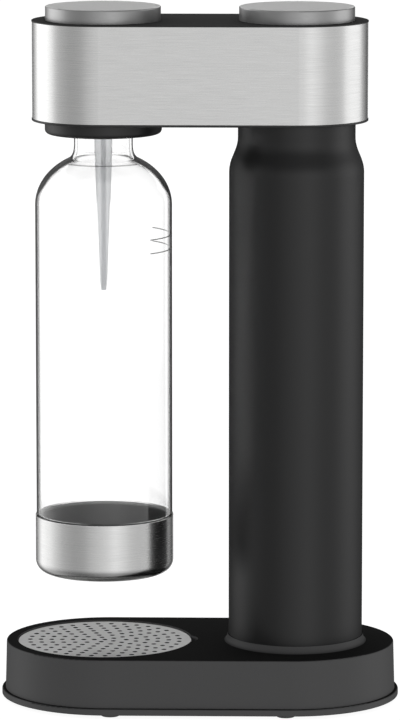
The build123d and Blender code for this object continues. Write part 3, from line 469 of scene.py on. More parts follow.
# %% Feeding the shader
def ramp_between(owner, source, low, high):
    """Mix two colours by a value socket; each is a triple or the output of another node."""
    node = add("ShaderNodeMix", {"data_type": "RGBA"}, at=owner)
    for label, color in (("A", low), ("B", high)):
        if isinstance(color, tuple):
            node.inputs[label].default_value = (*color, 1.0)
        else:
            owner.links.new(color, node.inputs[label])
    owner.links.new(source, node.inputs["Factor"])
    return node.outputs["Result"]


def bump(owner, height, distance, strength):
    """Turn a height into a normal; the distance is the real depth."""
    node = add("ShaderNodeBump", inputs={"Distance": distance, "Strength": strength}, at=owner)
    owner.links.new(height, node.inputs["Height"])
    return node.outputs["Normal"]


def finish(owner, surface, color, rough, normal, **constants):
    """Feed the shader its colour, roughness and normal, and set what is the same all over."""
    owner.links.new(color, surface.inputs["Base Color"])
    owner.links.new(rough, surface.inputs["Roughness"])
    owner.links.new(normal, surface.inputs["Normal"])
    for label, value in constants.items():
        surface.inputs[label.replace("_", " ")].default_value = value


print("feeding the shader: ramp_between, bump, finish")

# %% [markdown]
# The head is brushed round its sides and the discs straight across. On the discs, the holes of the
# grille and the inside of the bottle's cup, the upright walls get a painted tone of their own: the walls
# of the grille's holes are painted near black as painted shade, the inside of the cup is painted lighter
# as painted light, and the sides of the discs are painted darker. A mask finds those walls by where
# they stand and which way they face.

# %% Finding the upright walls
UPRIGHT = 0.5


def from_axis(owner, centre_x):
    """Level vector from an upright axis to the surface, in Object coordinates."""
    place = add("ShaderNodeTexCoord", at=owner)
    local = vector_node("SUBTRACT", place.outputs["Object"], (centre_x, 0.0, 0.0), at=owner)
    return vector_node("MULTIPLY", local, (1.0, 1.0, 0.0), at=owner)


def wall_mask(owner, centre_x, radius, inward=False):
    """Mask of the upright faces within a radius of an upright axis, or only of those that face it."""
    flat = from_axis(owner, centre_x)
    normal = add("ShaderNodeNewGeometry", at=owner).outputs["True Normal"]
    lying = math_node("ABSOLUTE", parts_of(normal, at=owner)["Z"], at=owner)
    upright = math_node("LESS_THAN", lying, UPRIGHT, at=owner)
    near = math_node("LESS_THAN", vector_node("LENGTH", flat, at=owner), radius, at=owner)
    mask = math_node("MULTIPLY", upright, near, at=owner)
    if inward:
        lean = vector_node("DOT_PRODUCT", flat, normal, at=owner)
        mask = math_node("MULTIPLY", mask, math_node("LESS_THAN", lean, 0.0, at=owner), at=owner)
    return mask


print("walls are steeper than", round(math.degrees(math.acos(UPRIGHT))), "degrees")

# %% Brushed steel
LINE_GLOSS = 0.10
TOUCH_HAZE = 0.08
LINE_DEPTH = 0.02 * MM


def brushed_steel(name, stretch, tone, contrast=0.05, rough=0.30, coarse=0.3, walls=None):
    """Satin stainless steel, with its lines along the axes of small stretch.

    walls is the tone painted on its upright walls as painted light and shade, their added haze, then what
    wall_mask needs to find them.
    """
    material, owner, surface = new_material(name)
    lines = place_group(owner, brush, Stretch=stretch, Coarse=coarse)
    touched = place_group(owner, marks, Size=24.0, Cover=0.35)
    dark = tuple(v * (1.0 - contrast) for v in tone)
    light = tuple(min(1.0, v * (1.0 + contrast)) for v in tone)
    color = ramp_between(owner, lines.outputs["Lines"], dark, light)
    base_rough = rough + LINE_GLOSS / 2
    line_rough = math_node("MULTIPLY_ADD", lines.outputs["Lines"], -LINE_GLOSS, base_rough, at=owner)
    total = math_node("MULTIPLY_ADD", touched.outputs["Mask"], TOUCH_HAZE, line_rough, at=owner)
    if walls is not None:
        painted_wall_tone, wall_haze, *place = walls
        mask = wall_mask(owner, *place)
        # the upright walls take the painted tone in place of the brushed colour
        color = ramp_between(owner, mask, color, (painted_wall_tone,) * 3)
        total = math_node("MULTIPLY_ADD", mask, wall_haze, total, at=owner)
    normal = bump(owner, lines.outputs["Height"], LINE_DEPTH, 0.5)
    finish(owner, surface, color, total, normal, Metallic=1.0)
    return material


print("steel lines are", LINE_DEPTH / MM, "mm deep")

# %% Steels of the machine
ROUND_Z = (70.0, 70.0, 4200.0)
ALONG_X = (70.0, 3200.0, 3200.0)
BOTTLE_X = -56.2 * MM
GRILLE_HOLES = 49.5 * MM
CUP_INSIDE = 40.2 * MM
EVERYWHERE = 1.0
steel_head = brushed_steel("steel_head", ROUND_Z, (0.630, 0.630, 0.626), 0.06, 0.26, 0.2)
# the inside walls of the cup are painted lighter, a painted light
steel_cup = brushed_steel("steel_cup", ROUND_Z, (0.630, 0.630, 0.626), 0.04, 0.24, 0.2,
                          (0.95, 0.40, BOTTLE_X, CUP_INSIDE, True))
# the upright sides of the discs are painted darker
steel_disc = brushed_steel("steel_disc", ALONG_X, (0.560, 0.560, 0.556), 0.06, 0.34, 0.2,
                           (0.36, 0.0, 0.0, EVERYWHERE))
# the walls of the grille's holes are painted near black, a painted shade
steel_grille = brushed_steel("steel_grille", ALONG_X, (0.600, 0.600, 0.596), 0.05, 0.40, 0.2,
                             (0.008, 0.0, BOTTLE_X, GRILLE_HOLES))
print("steels:", [m.name for m in (steel_head, steel_cup, steel_disc, steel_grille)])

# %% [markdown]
# The black plastics are one recipe with different numbers. Such plastic looks matt where the eye meets
# it at a slant, because the grain hides its own shine there. Its flat tops are painted near black, a
# painted shade for the little light that falls on them from above.

# %% Black plastics
DUST_TONE = (0.32, 0.31, 0.30)
# the near black that flat tops are painted with, a painted shade
TOP_SHADE_BLACK = (0.001, 0.001, 0.001)
GRAIN_GLOSS = 0.10
TOUCH_GLOSS = -0.07
TOP_HAZE = 0.58
GRAIN_DEPTH = 0.01 * MM


def moulded(name, tone, rough=0.45, scale=1800.0, shine=0.4, dusty=0.25, deep=0.0, haze=0.4):
    """Moulded plastic with mould grain, handling marks and a little dust; deep paints the top near black as
    painted shade.
    """
    material, owner, surface = new_material(name)
    texture = place_group(owner, grain, Scale=scale)
    touched = place_group(owner, marks, Size=22.0, Cover=0.45)
    settled = place_group(owner, dust, Amount=dusty)
    base = ramp_between(owner, texture.outputs["Gloss"], tuple(v * 0.9 for v in tone),
                        tuple(min(1.0, v * 1.12) for v in tone))
    # painted shade: the more a surface faces up, the more its colour is painted towards near black
    top_shade_mask = math_node("MULTIPLY", settled.outputs["Upward"], deep, at=owner)
    top_shaded = ramp_between(owner, top_shade_mask, base, TOP_SHADE_BLACK)
    color = ramp_between(owner, settled.outputs["Mask"], top_shaded, DUST_TONE)
    base_rough = rough - GRAIN_GLOSS / 2
    gloss = math_node("MULTIPLY_ADD", texture.outputs["Gloss"], GRAIN_GLOSS, base_rough, at=owner)
    worn = math_node("MULTIPLY_ADD", touched.outputs["Mask"], TOUCH_GLOSS, gloss, at=owner)
    turned_away = add("ShaderNodeLayerWeight", inputs={"Blend": 0.5}, at=owner)
    slant = math_node("POWER", turned_away.outputs["Facing"], 2.0, at=owner)
    hazed = math_node("MULTIPLY_ADD", slant, haze, worn, at=owner)
    total = math_node("MULTIPLY_ADD", settled.outputs["Upward"], TOP_HAZE, hazed, at=owner)
    normal = bump(owner, texture.outputs["Height"], GRAIN_DEPTH, 0.6)
    finish(owner, surface, color, total, normal, Specular_IOR_Level=shine)
    return material


# deep sets how far each plastic's flat tops are painted near black, as painted shade
black_base = moulded("black_base", (0.090, 0.090, 0.091), 0.40, shine=0.15, dusty=0.0, deep=0.99, haze=0.75)
black_column = moulded("black_column", (0.004, 0.004, 0.0044), 0.36, 2200.0, shine=0.5, dusty=0.02,
                       deep=0.5, haze=0.75)
black_trim = moulded("black_trim", (0.013, 0.013, 0.0135), 0.40, 1500.0, shine=0.5, dusty=0.02, deep=0.9)
black_cup = moulded("black_cup", (0.020, 0.020, 0.021), 0.36, dusty=0.05)
inner_grey = moulded("inner_grey", (0.10, 0.10, 0.105), 0.5, 1200.0, dusty=0.1)
print("plastics:", [m.name for m in (black_base, black_column, black_trim, black_cup, inner_grey)])

# %% [markdown]
# Rubber and foam have an open, uneven skin that swallows highlights. The grain of the plastics does
# for it, coarser and deeper, with hardly any shine on top.

# %% Rubber and foam
OPEN_GRAIN = 0.12
OPEN_DEPTH = 0.03 * MM


def rubber(name, tone, rough, scale):
    """Matt elastomer: a fine open grain and no clear highlight."""
    material, owner, surface = new_material(name)
    texture = place_group(owner, grain, Scale=scale)
    dark = tuple(v * 0.8 for v in tone)
    light = tuple(v * 1.2 for v in tone)
    color = ramp_between(owner, texture.outputs["Gloss"], dark, light)
    gloss = math_node("MULTIPLY_ADD", texture.outputs["Gloss"], OPEN_GRAIN, rough, at=owner)
    normal = bump(owner, texture.outputs["Height"], OPEN_DEPTH, 0.7)
    finish(owner, surface, color, gloss, normal, Specular_IOR_Level=0.3)
    return material


foot_rubber = rubber("foot_rubber", (0.10, 0.10, 0.10), 0.62, 1400.0)
seal_rubber = rubber("seal_rubber", (0.02, 0.02, 0.02), 0.55, 1600.0)
pad_foam = rubber("pad_foam", (0.09, 0.09, 0.095), 0.85, 700.0)
print("soft finishes:", [m.name for m in (foot_rubber, seal_rubber, pad_foam)])

# %% [markdown]
# The metal parts in the head and on the gas cylinder are turned or plated. Their tool lines run round
# the upright axis, so they take the brushed recipe with lines round that axis.

# %% Metals inside
TURNED = (60.0, 60.0, 5000.0)
brass = brushed_steel("brass", TURNED, (0.78, 0.57, 0.27), 0.06, 0.28, 0.5)
plated = brushed_steel("plated_steel", TURNED, (0.60, 0.60, 0.61), 0.06, 0.30, 0.5)
print("metals:", brass.name, plated.name)

# %% [markdown]
# The gas cylinder is sprayed steel. Paint has a faint orange-peel ripple, a few millimetres from crest
# to crest, under a clear gloss, and that ripple is what tells it from plastic.

# %% Cylinder paint
paint, owner, surface = new_material("cylinder_paint")
ripple = noise_field(owner, 420.0, 1.5)
touched = place_group(owner, marks, Size=20.0, Cover=0.5)
color = ramp_between(owner, touched.outputs["Mask"], (0.46, 0.47, 0.49), (0.40, 0.41, 0.43))
rough = math_node("MULTIPLY_ADD", touched.outputs["Mask"], 0.15, 0.28, at=owner)
finish(owner, surface, color, rough, bump(owner, ripple.outputs[0], 0.03 * MM, 0.6),
       Coat_Weight=0.5, Coat_Roughness=0.08)
print("paint:", paint.name)

# %% [markdown]
# The bottle is blown from clear plastic, and its refraction is real. A thick clear wall that is seen
# along its length looks black at its edge, since almost nothing bright is bent that way. Layer Weight
# says how far a wall turns away from the eye, and past a limit the plastic is painted black, a painted
# shade for that dark edge. The limit is lower on the dome, where a blown bottle is thickest, so the
# painted crescents are wide there and thin on the neck. Only the near wall takes them, or the far one
# would show through as a grey veil.

# %% Painted dark rims of the bottle
# painted shade on the bottle: the limits of the dark crescents, a dark crease line and the darkening low in
# the cup
RIM = (0.66, 0.80)
DOME_LIMIT = (296.0 * MM, 306.0 * MM, 0.755, 0.62)
NECK_LIMIT = (319.0 * MM, 324.0 * MM, 0.0, 0.10)
RIM_SOFTNESS = 0.045
CREASE_SHADE_Z = 317.7 * MM
CREASE_SHADE_REACH = 23.2 * MM
CREASE_SHADE_FADE = (0.1 * MM, 0.5 * MM, 0.85, 0.0)
IN_CUP_SHADE = (107.0 * MM, 108.8 * MM, 0.55, 0.0)


def rim_shade_masks(owner):
    """Masks of the painted dark crescents alone and of all the painted shade on the bottle."""
    facing = add("ShaderNodeLayerWeight", inputs={"Blend": 0.5}, at=owner).outputs["Facing"]
    height = parts_of(add("ShaderNodeTexCoord", at=owner).outputs["Object"], at=owner)["Z"]
    limit = math_node("ADD", soft_step(height, *DOME_LIMIT, at=owner),
                      soft_step(height, *NECK_LIMIT, at=owner), at=owner)
    past = math_node("SUBTRACT", facing, limit, at=owner)
    flat = from_axis(owner, BOTTLE_X)
    normal = add("ShaderNodeNewGeometry", at=owner).outputs["Normal"]
    near_wall = math_node("GREATER_THAN", vector_node("DOT_PRODUCT", flat, normal, at=owner), 0.0, at=owner)
    # the painted crescents of shade, on the near wall only
    sides = math_node("MULTIPLY", soft_step(past, -RIM_SOFTNESS, RIM_SOFTNESS, at=owner), near_wall, at=owner)
    # a fine dark line painted round the outer skin, a painted shade where the dome ends and the neck's flare
    # begins
    outer_skin = math_node("GREATER_THAN", vector_node("LENGTH", flat, at=owner), CREASE_SHADE_REACH, at=owner)
    off_crease_shade = math_node("ABSOLUTE", math_node("SUBTRACT", height, CREASE_SHADE_Z, at=owner), at=owner)
    crease_shade = math_node("MULTIPLY", soft_step(off_crease_shade, *CREASE_SHADE_FADE, at=owner),
                     math_node("MULTIPLY", near_wall, outer_skin, at=owner), at=owner)
    # all the painted shade together: crescents, crease line, outline and the darkening low in the cup
    dark = sides
    for mask in (crease_shade, soft_step(facing, *RIM, at=owner), soft_step(height, *IN_CUP_SHADE, at=owner)):
        dark = math_node("MAXIMUM", dark, mask, at=owner)
    return sides, dark


print("seam line at", round(CREASE_SHADE_Z / MM, 1), "mm")

# %% [markdown]
# Low down, inside its steel cup, the plastic is painted dark too, a painted shade because no light comes
# in there from behind. Blown plastic is never quite flat, so a slow, shallow ripple bends what is seen
# through it.

# %% Clear bottle
CLEAR = (1.0, 1.0, 1.0)
# the black painted on the bottle as painted shade
PAINTED_RIM_BLACK = (0.01, 0.01, 0.01)
RIM_HAZE = 0.5

clear, owner, surface = new_material("clear_bottle")
ripple = noise_field(owner, 26.0, 1.0)
touched = place_group(owner, marks, Size=30.0, Cover=0.25)
sides, dark = rim_shade_masks(owner)
smudged = math_node("MULTIPLY_ADD", touched.outputs["Mask"], 0.03, 0.012, at=owner)
rough = math_node("MULTIPLY_ADD", sides, RIM_HAZE, smudged, at=owner)
finish(owner, surface, ramp_between(owner, dark, CLEAR, PAINTED_RIM_BLACK), rough,
       bump(owner, ripple.outputs[0], 0.4 * MM, 0.15), Transmission_Weight=1.0, IOR=1.45)
print("bottle plastic has", len(owner.nodes), "nodes")

# %% [markdown]
# The nozzle is moulded from a milky grey plastic, which lets light through but blurs all behind it.

# %% Nozzle
milky, owner, surface = new_material("nozzle_grey")
flow = noise_field(owner, 90.0)
color = ramp_between(owner, flow.outputs[0], (0.74, 0.75, 0.76), (0.82, 0.83, 0.84))
owner.links.new(color, surface.inputs["Base Color"])
rough = math_node("MULTIPLY_ADD", flow.outputs[0], 0.12, 0.30, at=owner)
owner.links.new(rough, surface.inputs["Roughness"])
surface.inputs["Transmission Weight"].default_value = 0.8
surface.inputs["IOR"].default_value = 1.3
print("nozzle plastic has", len(owner.nodes), "nodes")

# %% [markdown]
# ## Dressing the CAD pieces
# The CAD solids keep their shapes and get their finish here, each by the name of its node.

# %% Assign finishes
FINISHES = {
    steel_head: ["head_wrap"],
    steel_cup: ["bottle_cup"],
    steel_disc: ["button_cap", "rear_cap"],
    steel_grille: ["drip_grille"],
    black_base: ["base_shell", "base_plate", "hatch"],
    black_column: ["column"],
    black_trim: ["head_plate", "head_cover", "bottle_socket"],
    black_cup: ["drip_cup"],
    inner_grey: ["column_nut", "head_chassis", "socket_nut", "manifold", "button_carrier",
                 "rear_cap_insert"],
    foot_rubber: ["foot_front_left", "foot_front_right", "foot_rear_left", "foot_rear_right"],
    seal_rubber: ["bottle_gasket", "valve_seal"],
    pad_foam: ["hatch_pad"],
    brass: ["pipe_nuts", "relief_valve", "valve_block", "plunger", "cylinder_valve"],
    plated: ["base_screws", "manifold_screws", "gas_pipe", "lever_pin", "lever", "button_spring",
             "plunger_spring"],
    paint: ["cylinder"],
    clear: ["bottle"],
    milky: ["nozzle"],
}
dressed = 0
for material, names in FINISHES.items():
    for name in names:
        mesh = nodes[name].data
        if not mesh.materials:
            mesh.materials.append(material)
        for index in range(len(mesh.materials)):
            mesh.materials[index] = material
        dressed += 1
print("dressed", dressed, "of", len(nodes))

# %% [markdown]
# ## Pieces modelled here
# The CAD gives threads, springs and feet as plain stand-ins and the bottle as a hard-edged solid, so
# those are modelled here: a primitive is placed, shaped in edit mode, finished with modifiers, and
# then rides on its body. Sizes come from the CAD pieces themselves, read off their boxes.

# %% Selecting and closing
def begin():
    """Leave edit mode and let go of everything, so the next operator touches one piece only."""
    if bpy.context.object and bpy.context.object.mode != "OBJECT":
        bpy.ops.object.mode_set(mode="OBJECT")
    bpy.ops.object.select_all(action="DESELECT")


def edit_all():
    """Enter edit mode with all of the active piece selected."""
    bpy.ops.object.mode_set(mode="EDIT")
    bpy.ops.mesh.select_all(action="SELECT")


def finish_mesh(merge=None):
    """Select all, merge doubles if asked, turn every face outwards and leave edit mode."""
    bpy.ops.mesh.select_all(action="SELECT")
    if merge is not None:
        bpy.ops.mesh.remove_doubles(threshold=merge)
    bpy.ops.mesh.normals_make_consistent(inside=False)
    bpy.ops.object.mode_set(mode="OBJECT")


def pick(piece, kind, test):
    """In edit mode, select only the vertices or faces whose middle passes a test."""
    bpy.ops.mesh.select_mode(type=kind)
    bpy.ops.mesh.select_all(action="DESELECT")
    bpy.ops.object.mode_set(mode="OBJECT")
    if kind == "FACE":
        for face in piece.data.polygons:
            face.select = test(face.center, face.normal)
    else:
        for vertex in piece.data.vertices:
            vertex.select = test(vertex.co)
    bpy.ops.object.mode_set(mode="EDIT")


print("selecting and closing: begin, edit_all, finish_mesh, pick")

# %% Winding and applying
def screw(piece, label, turns, rise, steps):
    """Add a Screw modifier that winds the piece round the upright axis, and return it."""
    wind = piece.modifiers.new(label, "SCREW")
    wind.axis = "Z"
    wind.angle = 2 * math.pi * turns
    wind.screw_offset = rise
    wind.steps = wind.render_steps = steps
    return wind


def apply_modifiers(piece):
    """Apply every modifier of the active piece, in order."""
    for modifier in list(piece.modifiers):
        bpy.ops.object.modifier_apply(modifier=modifier.name)


print("winding and applying: screw, apply_modifiers")

# %% Handing a piece over
def settle(piece, name, material, body, smooth_below=35.0):
    """Name a piece, put its origin at the world's, smooth it, give it its finish and its body."""
    begin()
    piece.select_set(True)
    bpy.context.view_layer.objects.active = piece
    bpy.ops.object.transform_apply(location=True, rotation=True, scale=True)
    bpy.ops.object.shade_smooth_by_angle(angle=math.radians(smooth_below))
    piece.name = name
    piece.data.name = name
    piece.data.materials.clear()
    piece.data.materials.append(material)
    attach(piece, body)
    return piece


def middle(node):
    """Middle of a CAD node's box."""
    low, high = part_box(node)
    return (low + high) / 2


print("handing over: settle, middle")

# %% Sizes of the bottle and its seat
BOTTLE_AXIS = middle("bottle").to_2d().to_3d()
BOTTLE_RADIUS = 39.9 * MM
NECK_RADIUS = 17.1 * MM
BORE_RADIUS = 19.3 * MM
COLLAR_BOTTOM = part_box("bottle_socket")[0].z
BOTTLE_FOOT, BOTTLE_TOP = (corner.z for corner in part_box("bottle"))
print("bottle axis at x", round(BOTTLE_AXIS.x / MM, 2), "top at", round(BOTTLE_TOP / MM, 1))

# %% [markdown]
# The bottle is drawn again as a blower would see it, because its clear wall shows every change of
# curve: the dome runs into the neck through a soft hollow flare, and the wall is thickest there. Half
# of its outline is one Bezier curve, down the outside and back up the inside. The Screw modifier turns
# that round the axis. The CAD bottle stays for its weight and its contacts.
#
# The outline starts on the axis, in the dent under the foot. It goes round the foot's corner, up the
# part that stands in the steel cup, over a small step to the straight wall, up the dome and through
# the flare to the neck. Every point has its two handles. Where the flare leaves the dome, the dome's
# own slope is followed on to the neck's line, and both handles of the flare aim at that meeting point.

# %% Foot and cup of the outline
DOME_Z = BOTTLE_TOP - 56.1 * MM
DOME_RISE = 31.6 * MM
WALL = 1.0 * MM
CROWN_WALL = 3.2 * MM
NECK_WALL = 1.7 * MM
FLARE = 3.4 * MM
FLARE_RISE = 8.3 * MM
FLARE_START = 0.75
FLARE_END = 0.62
CUP_STEP = 0.5 * MM
STEP_Z = 109.7 * MM
FOOT_CORNER = 6.9 * MM
DENT_RADIUS = 24.0 * MM
DENT_RISE = 7.0 * MM
DENT_HANDLE = 0.3
ARC = 0.5523


def low_outline(wall, side):
    """Points from the axis up to the straight wall: dent, corner of the foot, cup and step."""
    step = side - CUP_STEP
    corner = FOOT_CORNER - wall
    foot = BOTTLE_FOOT + wall
    top = foot + DENT_RISE
    soft = corner * ARC
    third = soft / 3
    return [
        ((0, top), (-DENT_RADIUS / 3, top), (DENT_RADIUS * ARC, top)),
        ((DENT_RADIUS, foot), (DENT_RADIUS * (1 - ARC / 4), foot + DENT_RISE * DENT_HANDLE),
         (DENT_RADIUS + third, foot)),
        ((step - corner, foot), (step - corner - third, foot), (step - corner + soft, foot)),
        ((step, foot + corner), (step, foot + corner - soft), (step, foot + corner + third)),
        ((step, STEP_Z), (step, STEP_Z - CUP_STEP), (step, STEP_Z + CUP_STEP)),
        ((side, STEP_Z + 2 * CUP_STEP), (side, STEP_Z + CUP_STEP), (side, STEP_Z + 3 * CUP_STEP)),
    ]


print("lower outline of", len(low_outline(0.0, BOTTLE_RADIUS)), "points")

# %% Dome, flare and neck
def high_outline(side, rise, neck, crown):
    """Points of the dome, the flare and the neck up to the rim."""
    reach = math.acos((neck + FLARE) / side)
    bow = 4 / 3 * math.tan(reach / 4)
    end = (side * math.cos(reach), DOME_Z + rise * math.sin(reach))
    slope = (-side * math.sin(reach), rise * math.cos(reach))
    meet = end[1] + slope[1] * (neck - end[0]) / slope[0]
    top = end[1] + FLARE_RISE + crown / 2
    return [
        ((side, DOME_Z), (side, DOME_Z - WALL), (side, DOME_Z + bow * rise)),
        (end, (end[0] - bow * slope[0], end[1] - bow * slope[1]),
         (end[0] + FLARE_START * (neck - end[0]), end[1] + FLARE_START * (meet - end[1]))),
        ((neck, top), (neck, top - FLARE_END * (top - meet)), (neck, top + WALL)),
        ((neck, BOTTLE_TOP), (neck, BOTTLE_TOP - WALL), (neck, BOTTLE_TOP)),
    ]


def outline(wall, crown, neck_wall):
    """Points of half the outline from the axis up to the rim, each with its two handles."""
    side = BOTTLE_RADIUS - wall
    return low_outline(wall, side) + high_outline(side, DOME_RISE - crown, NECK_RADIUS - neck_wall, crown)


inside = outline(WALL, CROWN_WALL - WALL, NECK_WALL)
border = outline(0.0, 0.0, 0.0) + [(at, after, before) for at, before, after in reversed(inside)]
print("outline of", len(border), "points")

# %% Blown bottle
CURVE_STEPS = 24
TURN_STEPS = 160
MERGE = 0.01 * MM

begin()
bpy.ops.curve.primitive_bezier_curve_add(location=(0.0, 0.0, 0.0))
blown = bpy.context.object
blown.data.resolution_u = CURVE_STEPS
spline = blown.data.splines[0]
spline.bezier_points.add(len(border) - len(spline.bezier_points))
for point, (at, before, after) in zip(spline.bezier_points, border):
    point.handle_left_type = point.handle_right_type = "FREE"
    point.co = (at[0], 0.0, at[1])
    point.handle_left = (before[0], 0.0, before[1])
    point.handle_right = (after[0], 0.0, after[1])
bpy.ops.object.convert(target="MESH")
blown = bpy.context.object
blow = screw(blown, "blow", 1.0, 0.0, TURN_STEPS)
blow.use_merge_vertices = True
blow.merge_threshold = MERGE
apply_modifiers(blown)
edit_all()
bpy.ops.transform.translate(value=BOTTLE_AXIS)
finish_mesh(MERGE)
settle(blown, "blown_bottle", clear, "bottle", 50.0)
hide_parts("bottle")
print("bottle:", len(blown.data.polygons), "faces")

# %% [markdown]
# A thread is one small profile swept up a helix. The profile starts as a plane standing beside the
# axis, its free edge is squeezed to a blunt ridge, and the Screw modifier winds it. The neck and the
# socket get the same pitch. The ridges stop short of each other, so the bottle drops straight out.

# %% Winding a thread
THREAD_PITCH = 4.2 * MM
THREAD_TURNS = 1.75
THREAD_FOOT = 2.6 * MM
THREAD_CREST = 0.45
THREAD_SINK = 0.08 * MM
STEPS_PER_TURN = 48
RUN_OUT = 0.93
SMALL_MERGE = 0.001 * MM
ON_EDGE = (math.pi / 2, 0.0, 0.0)


def thread(root_radius, crest_radius, bottom):
    """Wind a blunt ridge from a wall at the root radius towards the crest radius."""
    begin()
    start = BOTTLE_AXIS + Vector((0.0, 0.0, bottom))
    bpy.ops.mesh.primitive_plane_add(size=1.0, location=start, rotation=ON_EDGE)
    ridge = bpy.context.object
    bpy.ops.object.transform_apply(location=False, rotation=True, scale=True)
    depth = crest_radius - root_radius
    here = ridge.location
    edit_all()
    bpy.ops.transform.resize(value=(abs(depth), 1.0, THREAD_FOOT), center_override=here)
    bpy.ops.transform.translate(value=((root_radius + crest_radius) / 2, 0.0, 0.0))
    pick(ridge, "VERT", lambda co: abs(co.x - crest_radius) < abs(depth) / 4)
    bpy.ops.transform.resize(value=(1.0, 1.0, THREAD_CREST), center_override=here)
    bpy.ops.mesh.select_all(action="SELECT")
    bpy.ops.mesh.delete(type="ONLY_FACE")
    bpy.ops.object.mode_set(mode="OBJECT")
    screw(ridge, "wind", THREAD_TURNS, THREAD_PITCH * THREAD_TURNS, int(STEPS_PER_TURN * THREAD_TURNS))
    apply_modifiers(ridge)
    bpy.ops.object.mode_set(mode="EDIT")
    bpy.ops.mesh.select_mode(type="VERT")
    bpy.ops.mesh.select_all(action="DESELECT")
    bpy.ops.mesh.select_non_manifold()
    shrink = RUN_OUT if depth > 0 else 1.0 / RUN_OUT
    bpy.ops.transform.resize(value=(shrink, shrink, 1.0), center_override=here)
    bpy.ops.mesh.select_all(action="SELECT")
    bpy.ops.mesh.fill_holes(sides=8)
    finish_mesh(SMALL_MERGE)
    return ridge


print("a thread rises", round(THREAD_PITCH * THREAD_TURNS / MM, 2), "mm")

# %% Neck and socket threads
NECK_CREST = 18.25 * MM
SOCKET_CREST = 18.6 * MM
NECK_START = 3.4 * MM
SOCKET_START = 4.2 * MM

outer = thread(NECK_RADIUS - THREAD_SINK, NECK_CREST, COLLAR_BOTTOM + NECK_START)
settle(outer, "neck_thread", clear, "bottle")
inner = thread(BORE_RADIUS + THREAD_SINK, SOCKET_CREST, COLLAR_BOTTOM + SOCKET_START)
settle(inner, "socket_thread", black_trim, "root")
print("threads:", len(outer.data.polygons), "and", len(inner.data.polygons), "faces")

# %% [markdown]
# The two coil springs in the head are wound again. Each stands on the bottom of its CAD spring's box
# and reaches up to its top, and the CAD spring is hidden.

# %% Coil springs
SPRINGS = {
    # wire, turns, the joint that shortens it, and by how much
    "button_spring": (1.2 * MM, 4.5, "button_press", 6.0 * MM),
    "plunger_spring": (0.8 * MM, 3.5, "plunger_push", 1.3 * MM),
}
WIRE_SIDES = 12


def wind_spring(node, wire, turns):
    """Wind a round wire between the two ends of a CAD spring's box."""
    low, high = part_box(node)
    begin()
    bpy.ops.mesh.primitive_circle_add(vertices=WIRE_SIDES, radius=wire / 2, location=(0.0, 0.0, 0.0),
                                      rotation=ON_EDGE)
    coil = bpy.context.object
    bpy.ops.object.transform_apply(location=False, rotation=True, scale=True)
    edit_all()
    bpy.ops.transform.translate(value=((high.y - low.y - wire) / 2, 0.0, 0.0))
    bpy.ops.object.mode_set(mode="OBJECT")
    screw(coil, "wind", turns, high.z - low.z - wire, int(STEPS_PER_TURN * turns))
    apply_modifiers(coil)
    bpy.ops.object.mode_set(mode="EDIT")
    bpy.ops.mesh.select_mode(type="EDGE")
    bpy.ops.mesh.select_all(action="DESELECT")
    bpy.ops.mesh.select_non_manifold()
    bpy.ops.mesh.fill_holes(sides=0)
    bpy.ops.mesh.select_all(action="SELECT")
    axis = middle(node)
    bpy.ops.transform.translate(value=(axis.x, axis.y, low.z + wire / 2))
    finish_mesh()
    return coil


for node, (wire, turns, joint, travel) in SPRINGS.items():
    spring = settle(wind_spring(node, wire, turns), "wound_" + node, plated, "root")
    low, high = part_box(node)
    seat = middle(node)
    seat.z = low.z
    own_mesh(spring)
    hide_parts(node)

# %% [markdown]
# Two fill lines are pad-printed on the side of the bottle that faces the column. Each is a quarter
# ring: a thin hoop round the bottle, cut off by one upright plane, and given the thickness of ink.

# %% Fill lines
LINE_HEIGHTS = (275.4 * MM, 267.4 * MM)
LINE_WIDTH = 0.55 * MM
LINE_SIDES = 192
INK = 0.05 * MM
LINE_SPREAD = math.radians(45.0)
INK_TONES = ((0.22, 0.22, 0.22), (0.30, 0.30, 0.30))

print_ink, owner, surface = new_material("print_ink")
speckle = place_group(owner, grain, Scale=2600.0)
owner.links.new(ramp_between(owner, speckle.outputs["Gloss"], *INK_TONES), surface.inputs["Base Color"])
surface.inputs["Roughness"].default_value = 0.5

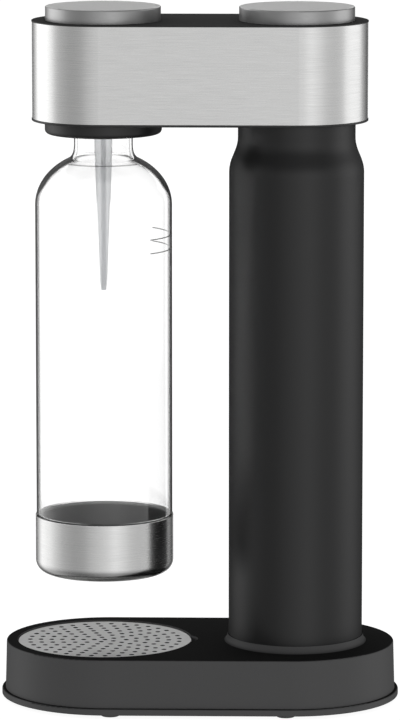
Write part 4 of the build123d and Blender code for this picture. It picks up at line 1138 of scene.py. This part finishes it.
for number, height in enumerate(LINE_HEIGHTS, start=1):
    begin()
    bpy.ops.mesh.primitive_cylinder_add(
        vertices=LINE_SIDES, radius=BOTTLE_RADIUS + INK, depth=LINE_WIDTH, end_fill_type="NOTHING",
        location=BOTTLE_AXIS + Vector((0.0, 0.0, height)),
    )
    line = bpy.context.object
    cut = BOTTLE_AXIS + Vector((BOTTLE_RADIUS * math.cos(LINE_SPREAD), 0.0, height))
    edit_all()
    bpy.ops.mesh.bisect(plane_co=cut, plane_no=(1.0, 0.0, 0.0), clear_inner=True)
    bpy.ops.object.mode_set(mode="OBJECT")
    body = line.modifiers.new("ink", "SOLIDIFY")
    body.thickness = 2 * INK
    body.offset = -1.0
    apply_modifiers(line)
    settle(line, f"fill_line_{number}", print_ink, "bottle")
    print(line.name, len(line.data.polygons), "faces")

# %% [markdown]
# The feet are small rubber buttons. Their soles have two rings of tread, which keep the machine from
# sliding when the bottle is screwed in. One foot is made from a cylinder whose sole is inset and
# pushed in and out in turn, and the other three are copies moved to their corners.

# %% Feet
FEET = FINISHES[foot_rubber]
FOOT_SIDES = 64
TREAD = 0.45 * MM
LAND = 0.75 * MM
EDGE = 0.15 * MM
EDGE_STEPS = 2
RINGS = 2
FACES_DOWN = -0.9

low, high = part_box(FEET[0])
begin()
bpy.ops.mesh.primitive_cylinder_add(
    vertices=FOOT_SIDES, radius=(high.x - low.x) / 2, depth=high.z - low.z, location=middle(FEET[0]),
)
foot = bpy.context.object
bpy.ops.object.transform_apply(location=True)
bpy.ops.object.mode_set(mode="EDIT")
pick(foot, "FACE", lambda centre, normal: normal.z < FACES_DOWN)
for ring in range(RINGS):
    for push in (TREAD, -TREAD):
        bpy.ops.mesh.inset(thickness=LAND)
        bpy.ops.mesh.extrude_region_move(TRANSFORM_OT_translate={"value": (0.0, 0.0, push)})
bpy.ops.object.mode_set(mode="OBJECT")
rounding = foot.modifiers.new("rounding", "BEVEL")
rounding.width = EDGE
rounding.segments = EDGE_STEPS
rounding.limit_method = "ANGLE"
apply_modifiers(foot)
edit_all()
finish_mesh()
print("one foot of", len(foot.data.polygons), "faces")

# %% Feet at their corners
for name in FEET[1:]:
    begin()
    foot.select_set(True)
    bpy.context.view_layer.objects.active = foot
    bpy.ops.object.duplicate(linked=False)
    copy = bpy.context.object
    bpy.ops.transform.translate(value=middle(name) - middle(FEET[0]))
    settle(copy, "tread_" + name, foot_rubber, "root")
    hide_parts(name)
settle(foot, "tread_" + FEET[0], foot_rubber, "root")
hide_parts(FEET[0])
print("feet:", len(FEET))

# %% [markdown]
# ## Finished size
# The box round everything that is shown gives the model's visual size.

# %% Sizes and finish
low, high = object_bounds()
print("visual size in mm:", [round((b - a) / MM, 1) for a, b in zip(low, high)])
